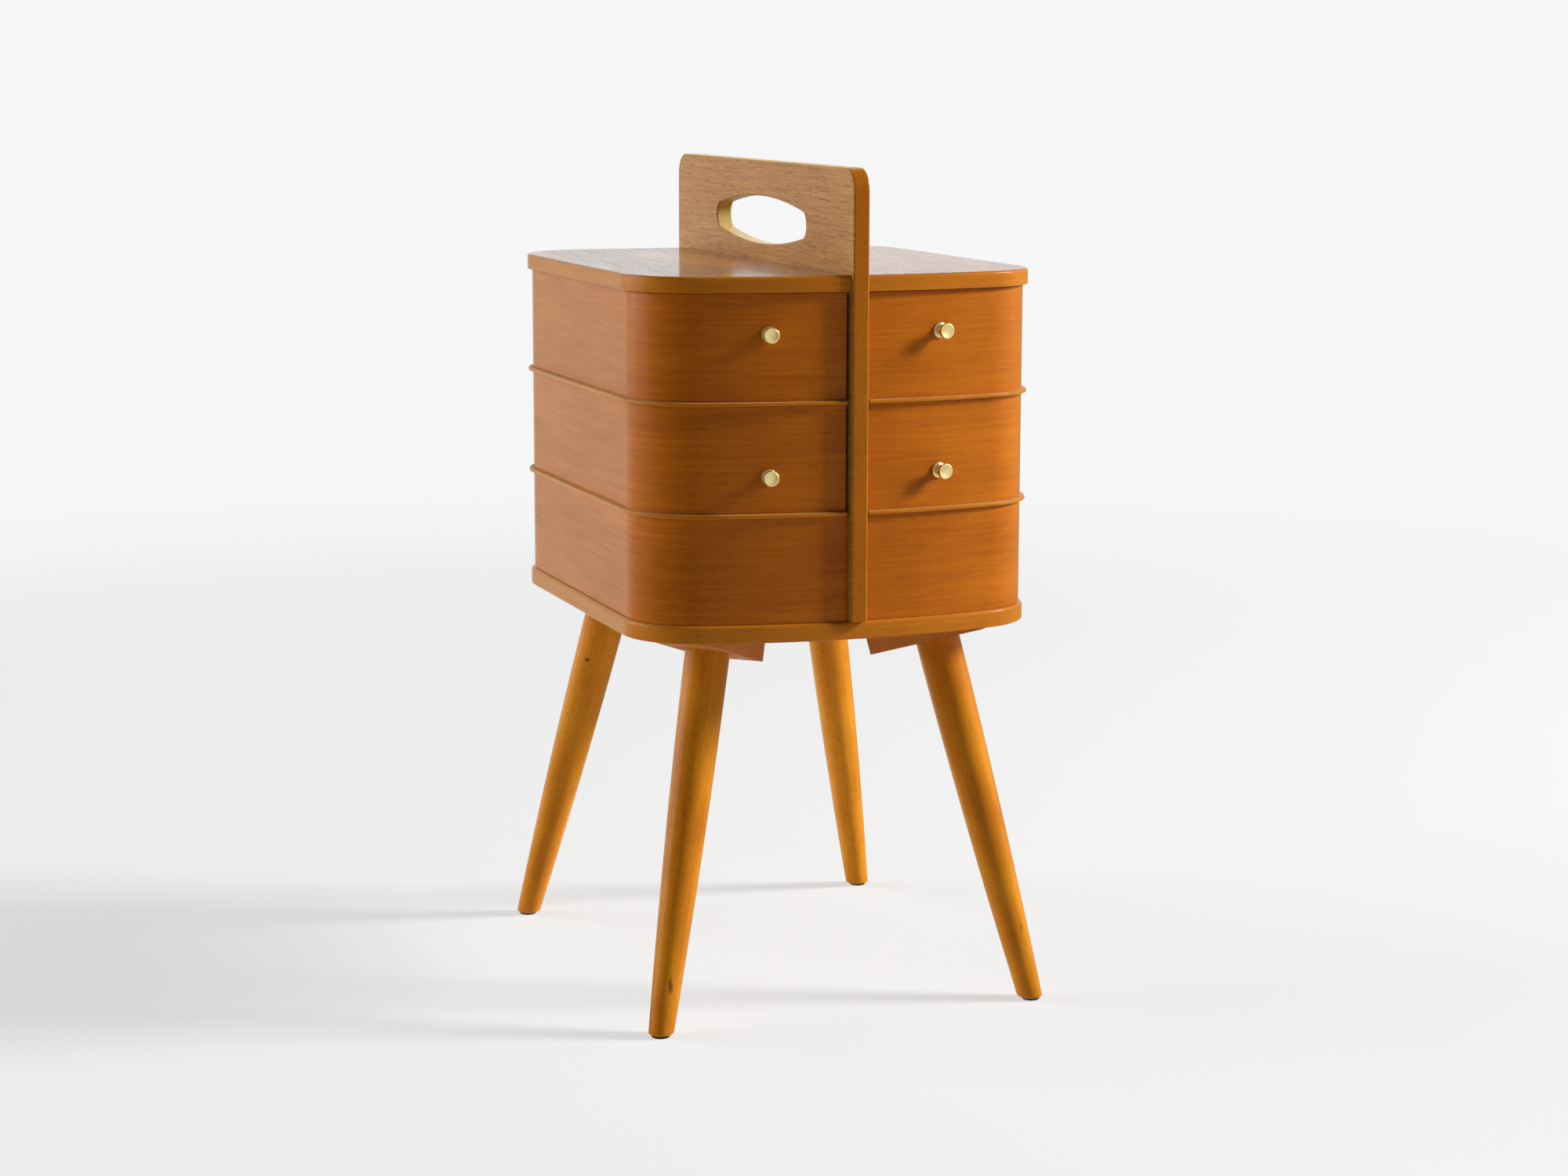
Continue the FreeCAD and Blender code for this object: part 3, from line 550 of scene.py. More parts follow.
def ease(mesh: bmesh.types.BMesh, edges: list[bmesh.types.BMEdge], rounding: Rounding) -> None:
    """Rounds edges.

    Args:
        mesh: The mesh.
        edges: The edges to round.
        rounding: The rounding's radius and segments.
    """
    bmesh.ops.bevel(mesh, geom=edges, offset=rounding.radius, offset_type="OFFSET", affect="EDGES",
                    segments=rounding.segments, profile=0.5, material=-1, clamp_overlap=True)


def creases(mesh: bmesh.types.BMesh, least: float = 50.0) -> list[bmesh.types.BMEdge]:
    """The edges whose two faces meet at more than an angle in degrees."""
    return [edge for edge in mesh.edges
            if len(edge.link_faces) == 2 and edge.calc_face_angle(0.0) > math.radians(least)]


def level_at(edge: bmesh.types.BMEdge, height: float) -> bool:
    """Whether both ends of an edge lie at a height."""
    return all(abs(corner.co.z - height) < CLOSE for corner in edge.verts)


def outer_rims(mesh: bmesh.types.BMesh, inner: float, height: float) -> list[bmesh.types.BMEdge]:
    """The edges round a right-hand half board at a height, without the straight ones at its inner x."""
    return [edge for edge in creases(mesh)
            if level_at(edge, height) and max(corner.co.x for corner in edge.verts) > inner + 10 * CLOSE]


def piece(name: str, mesh: bmesh.types.BMesh, materials: list[bpy.types.Material], body: str,
          node: str | None, side: Side = Side.RIGHT) -> bpy.types.Object:
    """Closes a mesh, makes it an object and hands it to its body.

    Args:
        name: The piece's name.
        mesh: The mesh, drawn for the right-hand side.
        materials: Its finishes, by the faces' material numbers.
        body: The body that it moves with.
        node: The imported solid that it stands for.
        side: The side that it belongs to. A left-hand piece is mirrored.

    Returns:
        The object.
    """
    bmesh.ops.remove_doubles(mesh, verts=mesh.verts[:], dist=CLOSE)
    if side is Side.LEFT:
        bmesh.ops.scale(mesh, vec=(-1, 1, 1), verts=mesh.verts[:])
    bmesh.ops.recalc_face_normals(mesh, faces=mesh.faces[:])
    data = bpy.data.meshes.new(name)
    mesh.to_mesh(data)
    mesh.free()
    data.shade_smooth()
    data.set_sharp_from_angle(angle=math.radians(40))
    for material in materials:
        data.materials.append(material)
    thing = bpy.data.objects.new(name, data)
    bpy.context.scene.collection.objects.link(thing)
    weighted = thing.modifiers.new("weighted", "WEIGHTED_NORMAL")
    weighted.keep_sharp = True
    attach(thing, body)
    if node:
        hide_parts(node)
    LOG.info("%s on %s, %d faces", name, body, len(data.polygons))
    return thing


def dress(node: str, material: bpy.types.Material) -> None:
    """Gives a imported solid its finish.

    Args:
        node: The solid's name.
        material: The finish.
    """
    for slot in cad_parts[node].material_slots:
        slot.material = material
    LOG.info("%s dressed in %s", node, material.name)


# The box seen from above


@dataclass
class Plan:
    """The outline of the base board, which every other outline follows at a distance."""

    front_radius: float = 480 * MM
    corner_radius: float = 62 * MM
    half_width: float = field(default_factory=lambda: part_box("base_board")[1].x)
    front: float = field(default_factory=lambda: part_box("base_board")[0].y)
    back: float = field(default_factory=lambda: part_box("base_board")[1].y)
    front_steps: int = 24
    corner_steps: int = 14

    @property
    def front_centre(self) -> float:
        """Where the front curve's centre lies on the plane of symmetry."""
        return self.front + self.front_radius

    @property
    def corner(self) -> Vector:
        """The centre of the right-hand front corner."""
        across = self.half_width - self.corner_radius
        reach = self.front_radius - self.corner_radius
        return Vector((across, self.front_centre - math.sqrt(reach * reach - across * across), 0.0))

    def front_at(self, inset: float, across: float) -> float:
        """Where the front curve lies along y, at a distance from the plane of symmetry."""
        radius = self.front_radius - inset
        return self.front_centre - math.sqrt(radius * radius - across * across)

    def trace(self, pen: Pen, inset: float, inner: float, height: float, backwards: bool = False) -> None:
        """Draws three sides of the right-hand half, from a start that the pen already stands at.

        Args:
            pen: The pen, at the outline's front end, or at its back end when it goes backwards.
            inset: The distance inside the base board's outline.
            inner: The distance of both ends from the plane of symmetry.
            height: The height of the plane.
            backwards: Whether it runs from back to front.
        """
        lift = UP * height
        corner = self.corner
        behind = Vector((corner.x, self.back - self.corner_radius, 0.0))
        centre = Vector((0.0, self.front_centre, 0.0))
        turn = math.atan2(corner.y - centre.y, corner.x)
        start = math.atan2(self.front_at(inset, inner) - centre.y, inner)
        side = self.half_width - inset
        back = self.back - inset
        if backwards:
            pen.line(Vector((behind.x, back, height)))
            pen.arc(behind + lift, UP, -math.pi / 2, self.corner_steps)
            pen.line(Vector((side, corner.y, height)))
            pen.arc(corner + lift, UP, turn, self.corner_steps)
            pen.arc(centre + lift, UP, start - turn, self.front_steps)
        else:
            pen.arc(centre + lift, UP, turn - start, self.front_steps)
            pen.arc(corner + lift, UP, -turn, self.corner_steps)
            pen.line(Vector((side, behind.y, height)))
            pen.arc(behind + lift, UP, math.pi / 2, self.corner_steps)
            pen.line(Vector((inner, back, height)))

    def half(self, mesh: bmesh.types.BMesh, inset: float, inner: float, height: float) -> None:
        """Draws the closed outline of the right-hand half.

        Args:
            mesh: The mesh that it goes into.
            inset: The distance inside the base board's outline.
            inner: The distance of the straight side from the plane of symmetry.
            height: The height of the plane.
        """
        pen = Pen(mesh, Vector((inner, self.front_at(inset, inner), height)))
        self.trace(pen, inset, inner, height)
        pen.close()

    def slab(self, low: Vector, high: Vector, inset: float) -> bmesh.types.BMesh:
        """The right-hand half of a board.

        Args:
            low: The lowest corner of the board's box.
            high: The highest corner.
            inset: The distance inside the base board's outline.

        Returns:
            A solid mesh.
        """
        mesh = bmesh.new()
        self.half(mesh, inset, low.x, low.z)
        thicken(mesh, Vector((0, 0, high.z - low.z)))
        return mesh

    def strip(self, mesh: bmesh.types.BMesh, outer: float, thickness: float, inner: float,
              height: float) -> None:
        """Draws the closed outline of a bent strip.

        Args:
            mesh: The mesh that it goes into.
            outer: The inset of its outer face.
            thickness: The strip's thickness.
            inner: The distance of its ends from the plane of symmetry.
            height: The height of the plane.
        """
        pen = Pen(mesh, Vector((inner, self.front_at(outer, inner), height)))
        self.trace(pen, outer, inner, height)
        pen.line(Vector((inner, self.back - outer - thickness, height)))
        self.trace(pen, outer + thickness, inner, height, backwards=True)
        pen.close()


# The sub-assemblies


@dataclass
class Boards:
    """The base board, the handle panel and the two halves of the lid."""

    plan: Plan
    base_rounding: Rounding = Rounding(3.0 * MM, 5)
    base_easing: Rounding = Rounding(1.2 * MM, 3)
    lid_inset: float = -1.0 * MM
    lid_rounding: Rounding = Rounding(2.4 * MM, 5)
    lid_easing: Rounding = Rounding(0.8 * MM, 2)
    joint_easing: Rounding = Rounding(0.5 * MM, 2)
    panel_corner: float = 18 * MM
    panel_corner_steps: int = 12
    panel_easing: Rounding = Rounding(1.5 * MM, 4)
    hole_centre: float = 633.6 * MM
    hole_half_length: float = 112.0 * MM
    hole_half_height: float = 19.7 * MM
    hole_arch: float = 590 * MM
    hole_end: float = 53 * MM
    hole_corner: float = 11 * MM
    hole_arch_steps: int = 16
    hole_corner_steps: int = 8
    hole_end_steps: int = 6

    def build(self) -> None:
        """Makes all four boards."""
        self.base()
        self.panel()
        for side in Side:
            self.lid(side)

    def base(self) -> None:
        """The base board: rim grain on its edge, and rounded above and below."""
        low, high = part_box("base_board")
        mesh = bmesh.new()
        self.plan.half(mesh, 0.0, 0.0, low.z)
        fill(mesh)
        bmesh.ops.mirror(mesh, geom=mesh.verts[:] + mesh.edges[:] + mesh.faces[:], axis="X",
                         merge_dist=CLOSE)
        thicken(mesh, Vector((0, 0, high.z - low.z)))
        for height, rounding in ((high.z, self.base_rounding), (low.z, self.base_easing)):
            ease(mesh, [edge for edge in creases(mesh) if level_at(edge, height)], rounding)
        self.mark_flats(mesh)
        piece("base_board_fine", mesh, [RIM.made(Grain.BENT), LID_TOP.made(Grain.DEPTH)], "frame",
              "base_board")

    def lid(self, side: Side) -> None:
        """One half of the lid.

        Args:
            side: Which half.
        """
        node = f"lid_{side.word}"
        low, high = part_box("lid_right")
        mesh = self.plan.slab(low, high, self.lid_inset)
        ease(mesh, outer_rims(mesh, low.x, high.z), self.lid_rounding)
        ease(mesh, outer_rims(mesh, low.x, low.z), self.lid_easing)
        ease(mesh, [edge for edge in creases(mesh) if level_at(edge, high.z)], self.joint_easing)
        self.mark_flats(mesh, 0.8)
        piece(f"{node}_fine", mesh, [RIM.made(Grain.BENT), LID_TOP.made(Grain.DEPTH)], "frame", node,
              side)

    def panel(self) -> None:
        """The handle panel with its barrel-shaped hand hole."""
        low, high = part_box("centre_panel")
        mesh = bmesh.new()
        turn = Vector((1, 0, 0))
        left = low.x
        radius = self.panel_corner
        pen = Pen(mesh, Vector((left, low.y, low.z)))
        pen.line(Vector((left, high.y, low.z)))
        pen.line(Vector((left, high.y, high.z - radius)))
        pen.arc(Vector((left, high.y - radius, high.z - radius)), turn, math.pi / 2,
                self.panel_corner_steps)
        pen.line(Vector((left, low.y + radius, high.z)))
        pen.arc(Vector((left, low.y + radius, high.z - radius)), turn, math.pi / 2,
                self.panel_corner_steps)
        pen.close()
        self.hand_hole(mesh, left)
        bmesh.ops.triangle_fill(mesh, edges=mesh.edges[:], use_beauty=True, use_dissolve=False)
        self.merge_halves(mesh)
        thicken(mesh, Vector((high.x - low.x, 0, 0)))
        rims = [edge for edge in creases(mesh)
                if abs(edge.verts[0].co.x - edge.verts[1].co.x) < CLOSE and not level_at(edge, low.z)]
        ease(mesh, rims, self.panel_easing)
        for face in mesh.faces:
            face.material_index = self.panel_finish(face)
        finishes = [finish.made(Grain.DEPTH) for finish in (PANEL, PANEL_EDGE, LIT_HOLE)]
        piece("centre_panel_fine", mesh, finishes, "frame", "centre_panel")

    def panel_finish(self, face: bmesh.types.BMFace) -> int:
        """Which finish a face of the panel has.

        Args:
            face: A face.

        Returns:
            0 for the veneer, 1 for the lipping and 2 for the inside of the hand hole, which is painted paler
            as painted light for the light that falls on it.
        """
        middle = face.calc_center_median()
        reach = self.hole_half_length + self.panel_easing.radius
        rise = self.hole_half_height + self.panel_easing.radius
        if abs(face.normal.x) > 0.5:
            return 0
        # The inside of the hand hole takes the finish that is painted paler, as painted light
        if abs(middle.y) < reach and abs(middle.z - self.hole_centre) < rise:
            return 2
        # The lipping's top face takes the veneer's paler, less yellow finish: a painted tone for the way the
        # light falls on that face
        return 0 if face.normal.z > 0.9 else 1

    def hand_hole(self, mesh: bmesh.types.BMesh, across: float) -> None:
        """Draws the outline of the hand hole: four shallow arcs with a round corner between each two.

        Args:
            mesh: The mesh that it goes into.
            across: The plane that it lies in.
        """
        turn = Vector((1, 0, 0))
        arch = self.hole_arch - self.hole_corner
        end = self.hole_end - self.hole_corner
        low = self.hole_half_height - self.hole_arch
        near = self.hole_half_length - self.hole_end
        span = math.hypot(near, low)
        bearing = math.atan2(low, near)
        opening = math.acos((end ** 2 + span ** 2 - arch ** 2) / (2 * end * span))
        steep = bearing + math.pi - opening
        corner = Vector((0.0, near + end * math.cos(steep), end * math.sin(steep)))
        flat = math.atan2(corner.y, corner.z - low)
        bend = math.pi / 2 - flat - steep
        middle = Vector((across, 0.0, self.hole_centre))
        radius = self.hole_arch
        start = middle + Vector((0.0, -radius * math.sin(flat), -low - radius * math.cos(flat)))
        pen = Pen(mesh, start)
        for sign in (1, -1):
            pen.arc(middle - Vector((0, 0, low)) * sign, turn, 2 * flat, self.hole_arch_steps)
            pen.arc(middle + Vector((0, corner.y, -corner.z)) * sign, turn, bend, self.hole_corner_steps)
            pen.arc(middle + Vector((0, near, 0)) * sign, turn, 2 * steep, self.hole_end_steps)
            pen.arc(middle + Vector((0, corner.y, corner.z)) * sign, turn, bend, self.hole_corner_steps)
        bmesh.ops.pointmerge(mesh, verts=[pen.tip, pen.first], merge_co=start)

    def merge_halves(self, mesh: bmesh.types.BMesh) -> None:
        """Joins the panel's triangles into one face above the hole's middle and one below it.

        Args:
            mesh: The mesh of the flat figure.
        """
        bmesh.ops.bisect_plane(mesh, geom=mesh.verts[:] + mesh.edges[:] + mesh.faces[:], dist=LEVEL,
                               plane_co=(0, 0, self.hole_centre), plane_no=UP)
        crossing = [edge for edge in mesh.edges
                    if not edge.is_boundary and not level_at(edge, self.hole_centre)]
        bmesh.ops.dissolve_edges(mesh, edges=crossing, use_verts=False, use_face_split=False)
        spare = [corner for corner in mesh.verts if not corner.is_boundary]
        bmesh.ops.dissolve_verts(mesh, verts=spare)

    @staticmethod
    def mark_flats(mesh: bmesh.types.BMesh, least: float = 0.97) -> None:
        """Gives the second finish to the faces whose normal is at least so upright."""
        for face in mesh.faces:
            face.material_index = 1 if abs(face.normal.z) > least else 0


@dataclass(frozen=True)
class Tray:
    """One tray, by its tier and its side."""

    tier: str
    side: Side

    @property
    def name(self) -> str:
        """The start of the names of its nodes."""
        return f"{self.tier}_{self.side.word}"

    @property
    def body(self) -> str:
        """The body that it moves with: its own, or the frame for a bottom tray."""
        return "frame" if self.tier == "bottom" else f"{self.name}_tray"

    def box(self, part: str) -> tuple[Vector, Vector]:
        """The lowest and highest corner of a part, as it lies in the right-hand tray."""
        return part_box(f"{self.tier}_right_{part}")

    def add(self, part: str, mesh: bmesh.types.BMesh, finishes: list[bpy.types.Material], slot: str) -> None:
        """Puts a finished mesh in place of one of its nodes."""
        node = f"{self.name}_{part}"
        piece(f"{node}_fine", mesh, finishes, self.body, node, self.side)


@dataclass
class Trays:
    """The six trays: bent walls, floors with a bead, inner boards, knobs and hinges."""

    plan: Plan
    wall_inset: float = 3.0 * MM
    wall_thickness: float = 5.0 * MM
    wall_easing: Rounding = Rounding(0.5 * MM, 2)
    floor_inset: float = -1.0 * MM
    floor_rounding: Rounding = Rounding(1.1 * MM, 4)
    knob_radius: float = 6.2 * MM
    knob_length: float = 12.0 * MM
    knob_waist: float = 3.3 * MM
    knob_flange: float = 1.6 * MM
    knob_head: float = 3.0 * MM
    knob_rim: float = 1.1 * MM
    knob_dish: float = 0.7 * MM
    knob_easing: float = 0.3 * MM
    knob_waist_share: float = 0.96
    knob_waist_steps: int = 10
    knob_dish_steps: int = 6
    knob_place: float = 71.5 * MM

    def build(self) -> None:
        """Makes every tray of both sides."""
        wood = HONEY.made(Grain.BENT)
        rim = RIM.made(Grain.BENT)
        inside = INSIDE.made(Grain.DEPTH)
        gold = GOLD.made()
        brass = BRASS.made()
        steel = STEEL.made()
        dressed = {"inner_side": inside, "hinge_block": inside, "tray_leaf": brass, "panel_leaf": brass,
                   "tray_leaf_screws": steel, "knob_screw": steel}
        for side in Side:
            self.wall(Tray("bottom", side), wood, inside)
            dress(f"bottom_{side.word}_inner_side", inside)
            for tray in (Tray("top", side), Tray("middle", side)):
                self.wall(tray, wood, inside)
                self.floor(tray, rim, inside)
                self.knob(tray, gold)
                for part, finish in dressed.items():
                    dress(f"{tray.name}_{part}", finish)

    def wall(self, tray: Tray, wood: bpy.types.Material, inside: bpy.types.Material) -> None:
        """One bent wall.

        Args:
            tray: The tray.
            wood: The finish of its outer face.
            inside: The finish of its inner face.
        """
        low, high = tray.box("wall")
        mesh = bmesh.new()
        self.plan.strip(mesh, self.wall_inset, self.wall_thickness, low.x, low.z)
        thicken(mesh, Vector((0, 0, high.z - low.z)))
        rims = [edge for edge in creases(mesh) if level_at(edge, low.z) or level_at(edge, high.z)]
        ease(mesh, rims, self.wall_easing)
        middle = Vector((self.plan.corner.x * 0.4, 0.0, 0.0))
        for face in mesh.faces:
            outwards = face.calc_center_median() - middle
            outwards.z = 0.0
            face.material_index = 1 if face.normal.dot(outwards) < -1e-4 else 0
        tray.add("wall", mesh, [wood, inside], "tray_wood")

    def floor(self, tray: Tray, rim: bpy.types.Material, inside: bpy.types.Material) -> None:
        """One tray floor with its rounded bead.

        Args:
            tray: The tray.
            rim: The finish of its edge.
            inside: The finish of its faces.
        """
        low, high = tray.box("floor")
        mesh = self.plan.slab(low, high, self.floor_inset)
        for height in (low.z, high.z):
            ease(mesh, outer_rims(mesh, low.x, height), self.floor_rounding)
        for face in mesh.faces:
            face.material_index = 1 if abs(face.normal.z) > 0.97 and face.calc_area() > 1e-4 else 0
        tray.add("floor", mesh, [rim, inside], "rim_wood")

    def knob(self, tray: Tray, gold: bpy.types.Material) -> None:
        """One turned knob, square to the curved front."""
        low, high = tray.box("knob")
        outer, tip, easing = self.knob_radius, self.knob_length, self.knob_easing
        head = tip - self.knob_head
        half = (head - self.knob_flange) / 2
        waist = arc_radius(half, outer - self.knob_waist)
        swing = 2 * math.asin(half / waist) * self.knob_waist_share
        bowl_width = outer - self.knob_rim
        bowl = arc_radius(bowl_width, self.knob_dish)
        axis = Vector((0, 1, 0))
        mesh = bmesh.new()
        pen = Pen(mesh, Vector((0, 0, 0)))
        pen.lines(((outer, 0), (outer, self.knob_flange - easing), (outer - easing, self.knob_flange)))
        pen.arc(Vector((self.knob_waist + waist, 0, (self.knob_flange + head) / 2)), axis, swing,
                self.knob_waist_steps)
        pen.lines(((outer - easing, head), (outer, head + easing), (outer, tip - easing * 1.5),
                   (outer - easing * 0.5, tip - easing * 0.5), (outer - easing * 1.5, tip),
                   (bowl_width, tip)))
        pen.arc(Vector((0, 0, tip - self.knob_dish + bowl)), axis, math.asin(bowl_width / bowl),
                self.knob_dish_steps)
        revolve(mesh)
        lean = math.asin(self.knob_place / (self.plan.front_radius - self.wall_inset))
        along = self.plan.front_at(self.wall_inset, self.knob_place)
        place = Vector((self.knob_place, along, (low.z + high.z) / 2))
        turn = Matrix.Rotation(lean, 4, "Z") @ Matrix.Rotation(math.pi / 2, 4, "X")
        bmesh.ops.transform(mesh, matrix=Matrix.Translation(place) @ turn, verts=mesh.verts[:])
        tray.add("knob", mesh, [gold], "knob_brass")


# A stain at the front right foot and two dark knots, by the leg that each is in
LEG_MARKS = {
    ("front", Side.RIGHT): Mark(Vector((151.0, -202.9, 60.9)) * MM, Vector((3, 3, 6)) * MM, 0.3),
    ("front", Side.LEFT): Mark(Vector((-153.2, -206.5, 41.2)) * MM, Vector((2.6, 4, 9)) * MM, 0.75),
    ("back", Side.LEFT): Mark(Vector((-121.9, 129.0, 243.2)) * MM, Vector((2.2, 4, 2.6)) * MM, 0.9),
}


@dataclass
class Legs:
    """Four turned legs, the wedges that they stand in, and their glides."""

    plan: Plan
    splay: float = math.radians(16.5)
    turn: float = math.radians(46.2)
    side_inset: float = 73.7 * MM
    front_inset: float = 78.3 * MM
    back_inset: float = 60.7 * MM
    foot_radius: float = 9.7 * MM
    top_radius: float = 18.2 * MM
    swell: float = 1.6 * MM
    wedge_thickness: float = 17.7 * MM
    swell_steps: int = 24
    foot_rounding: Rounding = Rounding(2.0 * MM, 4)
    glide_thickness: float = 2.0 * MM

    def build(self) -> None:
        """Makes the four legs and dresses what belongs to them."""
        wedge = WEDGE.made(Grain.DEPTH)
        for end in ("front", "back"):
            for side in Side:
                self.leg(end, side)
                dress(f"leg_wedge_{end}_{side.word}", wedge)
        dress("foot_glides", PLASTIC.made())

    def leg(self, end: str, side: Side) -> None:
        """One leg, turned about its own axis, set in its place and cut level at the foot.

        Args:
            end: front or back.
            side: The leg's side.
        """
        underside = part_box("base_board")[0].z
        if end == "front":
            along = self.plan.front + self.front_inset
            heading = -self.turn
        else:
            along = self.plan.back - self.back_inset
            heading = self.turn
        origin = Vector((self.plan.half_width - self.side_inset, along, underside))
        place = (Matrix.Translation(origin) @ Matrix.Rotation(heading, 4, "Z")
                 @ Matrix.Rotation(-self.splay, 4, "Y"))
        shoulder = -self.wedge_thickness
        toe = -underside / math.cos(self.splay) - 2 * self.foot_radius * math.tan(self.splay)
        run = shoulder - toe
        growth = self.top_radius - self.foot_radius
        chord = math.hypot(run, growth)
        radius = arc_radius(chord / 2, self.swell)
        normal = Vector((run, 0.0, -growth)) / chord
        middle = Vector(((self.foot_radius + self.top_radius) / 2, 0.0, (toe + shoulder) / 2))
        centre = middle + normal * (self.swell - radius)
        mesh = bmesh.new()
        pen = Pen(mesh, Vector((0, 0, toe)))
        pen.line(Vector((self.foot_radius, 0, toe)))
        pen.arc(centre, Vector((0, -1, 0)), 2 * math.asin(chord / 2 / radius), self.swell_steps)
        pen.line(Vector((0, 0, shoulder)))
        revolve(mesh)
        bmesh.ops.transform(mesh, matrix=place, verts=mesh.verts[:])
        bmesh.ops.recalc_face_normals(mesh, faces=mesh.faces[:])
        bmesh.ops.bisect_plane(mesh, geom=mesh.verts[:] + mesh.edges[:] + mesh.faces[:], dist=LEVEL,
                               plane_co=(0, 0, self.glide_thickness), plane_no=-UP, clear_outer=True)
        bmesh.ops.holes_fill(mesh, edges=[edge for edge in mesh.edges if edge.is_boundary], sides=0)
        sole = [edge for edge in creases(mesh, 40) if level_at(edge, self.glide_thickness)]
        ease(mesh, sole, self.foot_rounding)
        axis = (place.to_3x3() @ UP).normalized()
        axis.x *= side.value
        name = f"leg_{end}_{side.word}"
        # The back legs take the copy of the leg finish that is painted paler, as painted light
        finish = LEG if end == "front" else LIT_BACK_LEG
        wood = finish.made(Grain.LEG, axis, LEG_MARKS.get((end, side)))
        piece(f"{name}_fine", mesh, [wood], "frame", name, side)


@dataclass
class Fastenings:
    """Dowels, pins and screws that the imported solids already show."""

    steel_nodes: tuple[str, ...] = ("hinge_pins", "panel_leaf_screws", "panel_screws", "wedge_screws")

    def build(self) -> None:
        """Dresses them."""
        steel = STEEL.made()
        for node in self.steel_nodes:
            dress(node, steel)
        dress("lid_dowels", INSIDE.made(Grain.DEPTH))


@dataclass(frozen=True)
class Lamp:
    """A square lamp that faces the box. Its level is how bright it makes a white surface that faces it."""

    name: str
    way: Vector
    size: float
    level: float


@dataclass(frozen=True)
class Cone:
    """A soft-edged cone of directions, with the cosines of its outer and inner edge."""

    way: Vector
    outer: float
    inner: float

    def mask(self, graph: Graph, direction: bpy.types.NodeSocket) -> Value:
        """1 inside the cone and 0 outside it."""
        return graph.along(direction, self.way).ramp(self.outer, self.inner)


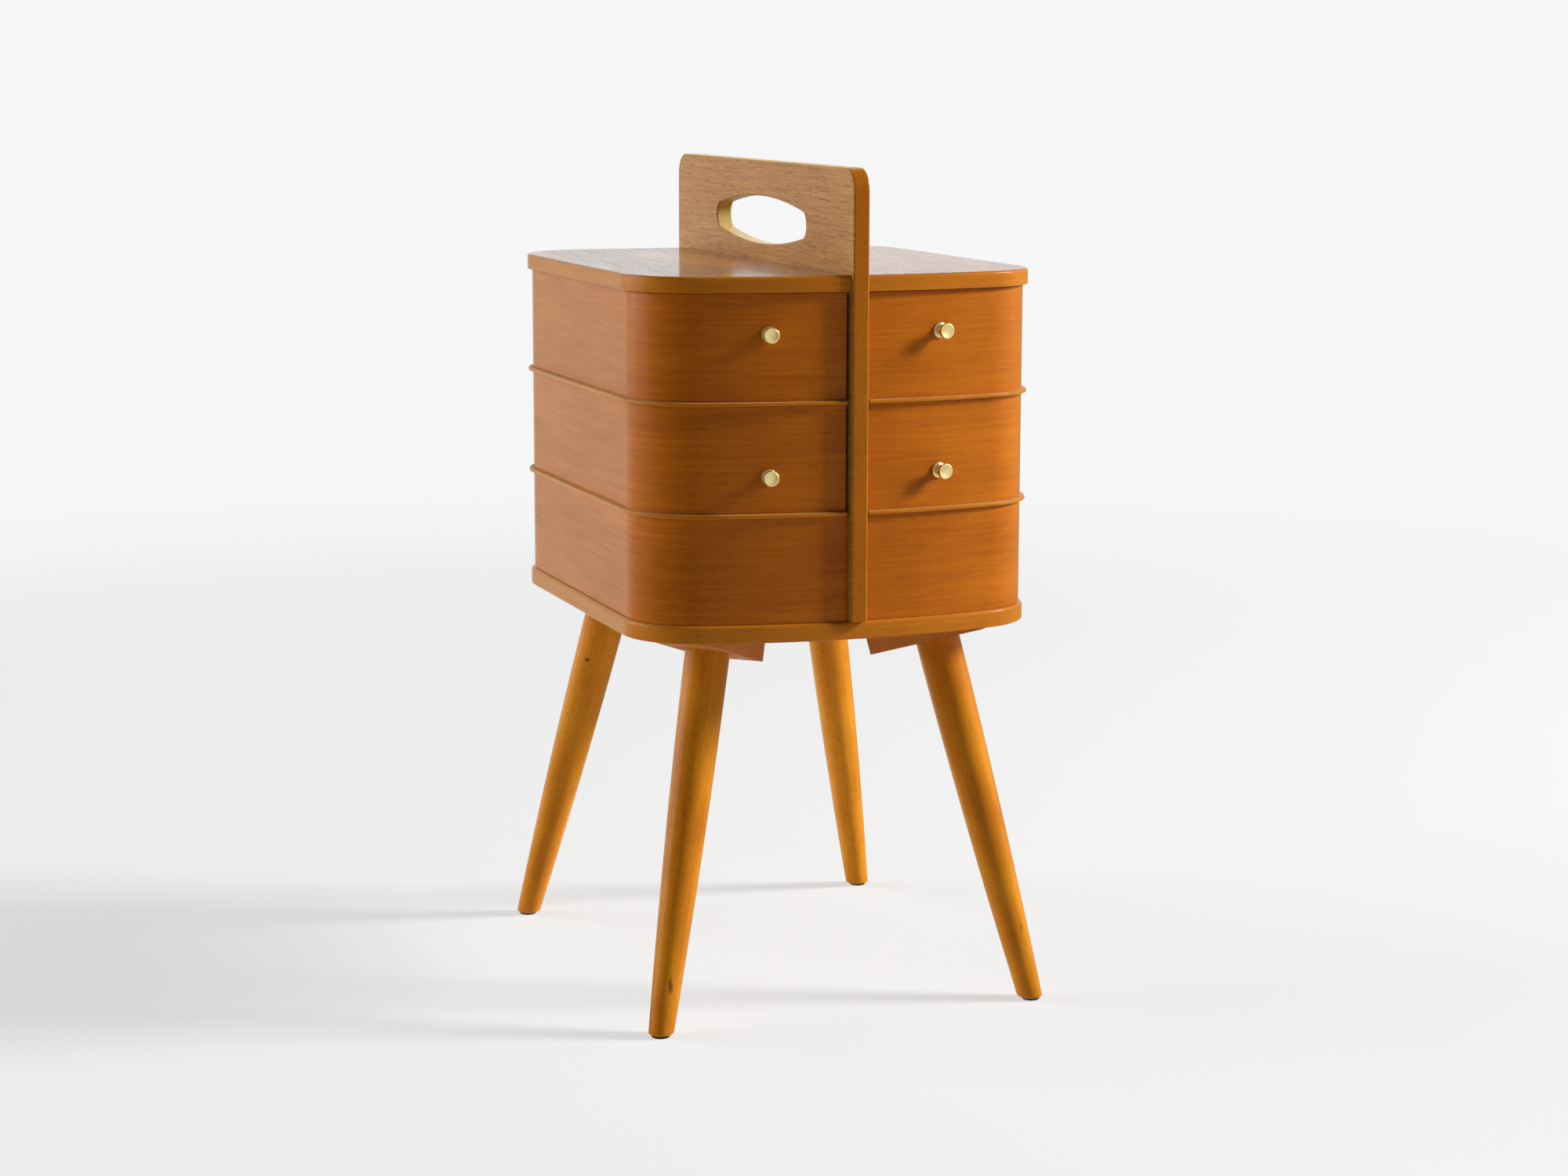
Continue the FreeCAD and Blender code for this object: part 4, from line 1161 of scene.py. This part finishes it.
@dataclass
class Studio:
    """A pale floor that runs into a white backdrop, a soft key light from the right, and the camera."""

    target: Vector = field(default_factory=lambda: Vector((0.0, 0.0, 0.36)))
    distance: float = 6.0
    lamps: tuple[Lamp, ...] = (
        Lamp("key", Vector((0.84, -0.26, 0.476)), 1.3, 1.34),
        Lamp("right_wall", Vector((1.0, -0.15, 0.25)), 5.0, 0.18),
        Lamp("left_wall", Vector((-0.9, 0.45, 0.35)), 5.0, 0.9),
    )
    ambient: float = 0.03
    backdrop: float = 0.925
    room: float = 0.2
    front: float = 0.8
    front_cone: Cone = Cone(Vector((0.35, -0.937, 0)), 0.7, 0.88)
    backdrop_cone: Cone = Cone(Vector((0, 1, 0)), 0.5, 0.85)
    floor_cone: Cone = Cone(Vector((-0.29, 0.957, 0)), 0.76, 0.94)
    floor_size: float = 60.0
    floor_bounce: float = 0.65
    floor_albedo: float = 0.30
    floor_glow: float = 0.575
    floor_edge: Pair = (1.4, 3.2)
    camera_place: Vector = field(default_factory=lambda: Vector((-0.9005, -2.5377, 0.7606)))
    camera_yaw: float = math.radians(-19.83)
    camera_tilt: float = math.radians(90 - 9.45)
    camera_roll: float = math.radians(0.17)
    lens: float = 73.42
    sensor: float = 36.0
    shift: Pair = (0.001, 0.00625)

    def build(self) -> None:
        """Makes the world, the floor, the lamps and the camera."""
        self.world()
        self.floor()
        for lamp in self.lamps:
            self.light(lamp)
        self.camera()

    def world(self) -> None:
        """White to the camera, white behind the box and grey before it to reflections, dim to the rest."""
        graph = Graph(bpy.data.worlds.new("studio"))
        bpy.context.scene.world = graph.owner
        direction = graph.node("ShaderNodeTexCoord").outputs["Generated"]
        seen = graph.ray("Camera") + graph.ray("Transmission")
        image = self.mirrored(graph, direction, self.backdrop_cone)
        strength = (self.ambient + seen * (self.backdrop - self.ambient)
                    + graph.ray("Glossy") * (image - self.ambient))
        light = graph.node("ShaderNodeBackground", None, {"Color": (1, 1, 1, 1), "Strength": strength})
        graph.node("ShaderNodeOutputWorld", None, {"Surface": light.outputs[0]})

    def mirrored(self, graph: Graph, direction: bpy.types.NodeSocket, white: Cone) -> Value:
        """What reflections find: grey round the box, white behind it and pale in front.

        Args:
            graph: The world's or the floor's graph.
            direction: The way from the box.
            white: The directions of the white backdrop.

        Returns:
            The brightness.
        """
        front = self.front_cone.mask(graph, direction)
        behind = white.mask(graph, direction)
        return self.room + front * (self.front - self.room) + behind * (self.backdrop - self.room)

    def floor(self) -> None:
        """A wide pale floor that keeps the box's shadow."""
        mesh = bmesh.new()
        bmesh.ops.create_grid(mesh, x_segments=1, y_segments=1, size=self.floor_size / 2)
        data = bpy.data.meshes.new("floor")
        mesh.to_mesh(data)
        mesh.free()
        data.materials.append(self.floor_finish())
        thing = bpy.data.objects.new("floor", data)
        bpy.context.scene.collection.objects.link(thing)

    def floor_finish(self) -> bpy.types.Material:
        """Pale to the camera near the box and white far from it, and like the room in reflections."""
        graph = Graph.of_material("floor")
        place = graph.place()
        away = graph.near(place, Vector((0, 0, 0)), Vector((1, 1, 1))).ramp(*self.floor_edge)
        bounce = graph.node("ShaderNodeBsdfDiffuse", None, {"Color": (self.floor_bounce,) * 3 + (1.0,)})
        matte = graph.node("ShaderNodeBsdfDiffuse", None, {"Color": (self.floor_albedo,) * 3 + (1.0,)})
        glow = self.glow(graph, self.floor_glow)
        near = graph.node("ShaderNodeAddShader", None, {0: matte.outputs[0], 1: glow})
        view = self.mixed(graph, away, near.outputs[0], self.glow(graph, self.backdrop))
        plain = self.mixed(graph, graph.ray("Camera"), bounce.outputs[0], view)
        outwards = graph.vector("NORMALIZE", place).outputs[0]
        image = self.glow(graph, self.mirrored(graph, outwards, self.floor_cone))
        whole = self.mixed(graph, graph.ray("Glossy"), plain, image)
        graph.node("ShaderNodeOutputMaterial", None, {"Surface": whole})
        return graph.owner

    @staticmethod
    def glow(graph: Graph, level: Value | float) -> bpy.types.NodeSocket:
        """A shader that shines at a level."""
        return graph.node("ShaderNodeEmission", None, {"Strength": level}).outputs[0]

    @staticmethod
    def mixed(graph: Graph, factor: Value, first: bpy.types.NodeSocket,
              second: bpy.types.NodeSocket) -> bpy.types.NodeSocket:
        """A mix of two shaders: the first where the factor is 0, the second where it is 1."""
        return graph.node("ShaderNodeMixShader", None, {0: factor, 1: first, 2: second}).outputs[0]

    def light(self, lamp: Lamp) -> None:
        """Hangs up one lamp, at an energy that gives its level at the box."""
        data = bpy.data.lights.new(lamp.name, "AREA")
        data.size = lamp.size
        data.energy = lamp.level * (math.pi * self.distance) ** 2
        thing = bpy.data.objects.new(lamp.name, data)
        thing.location = self.target + lamp.way.normalized() * self.distance
        thing.rotation_euler = lamp.way.to_track_quat("Z", "Y").to_euler()
        bpy.context.scene.collection.objects.link(thing)

    def camera(self) -> None:
        """The camera at the photograph's place."""
        data = bpy.data.cameras.new("camera")
        data.lens = self.lens
        data.sensor_width = self.sensor
        data.shift_x, data.shift_y = self.shift
        thing = bpy.data.objects.new("camera", data)
        turn = (Matrix.Rotation(self.camera_yaw, 4, "Z") @ Matrix.Rotation(self.camera_tilt, 4, "X")
                @ Matrix.Rotation(self.camera_roll, 4, "Z"))
        thing.matrix_world = Matrix.Translation(self.camera_place) @ turn
        bpy.context.scene.collection.objects.link(thing)
        bpy.context.scene.camera = thing


def main() -> None:
    """Builds the sewing box and its studio."""
    logging.basicConfig(level=logging.INFO, format="%(name)s: %(message)s")
    bpy.context.scene.view_settings.view_transform = "Standard"
    plan = Plan()
    for part in (Boards(plan), Trays(plan), Legs(plan), Fastenings(), Studio()):
        LOG.info("building %s", type(part).__name__)
        part.build()


if __name__ == "__main__":
    main()
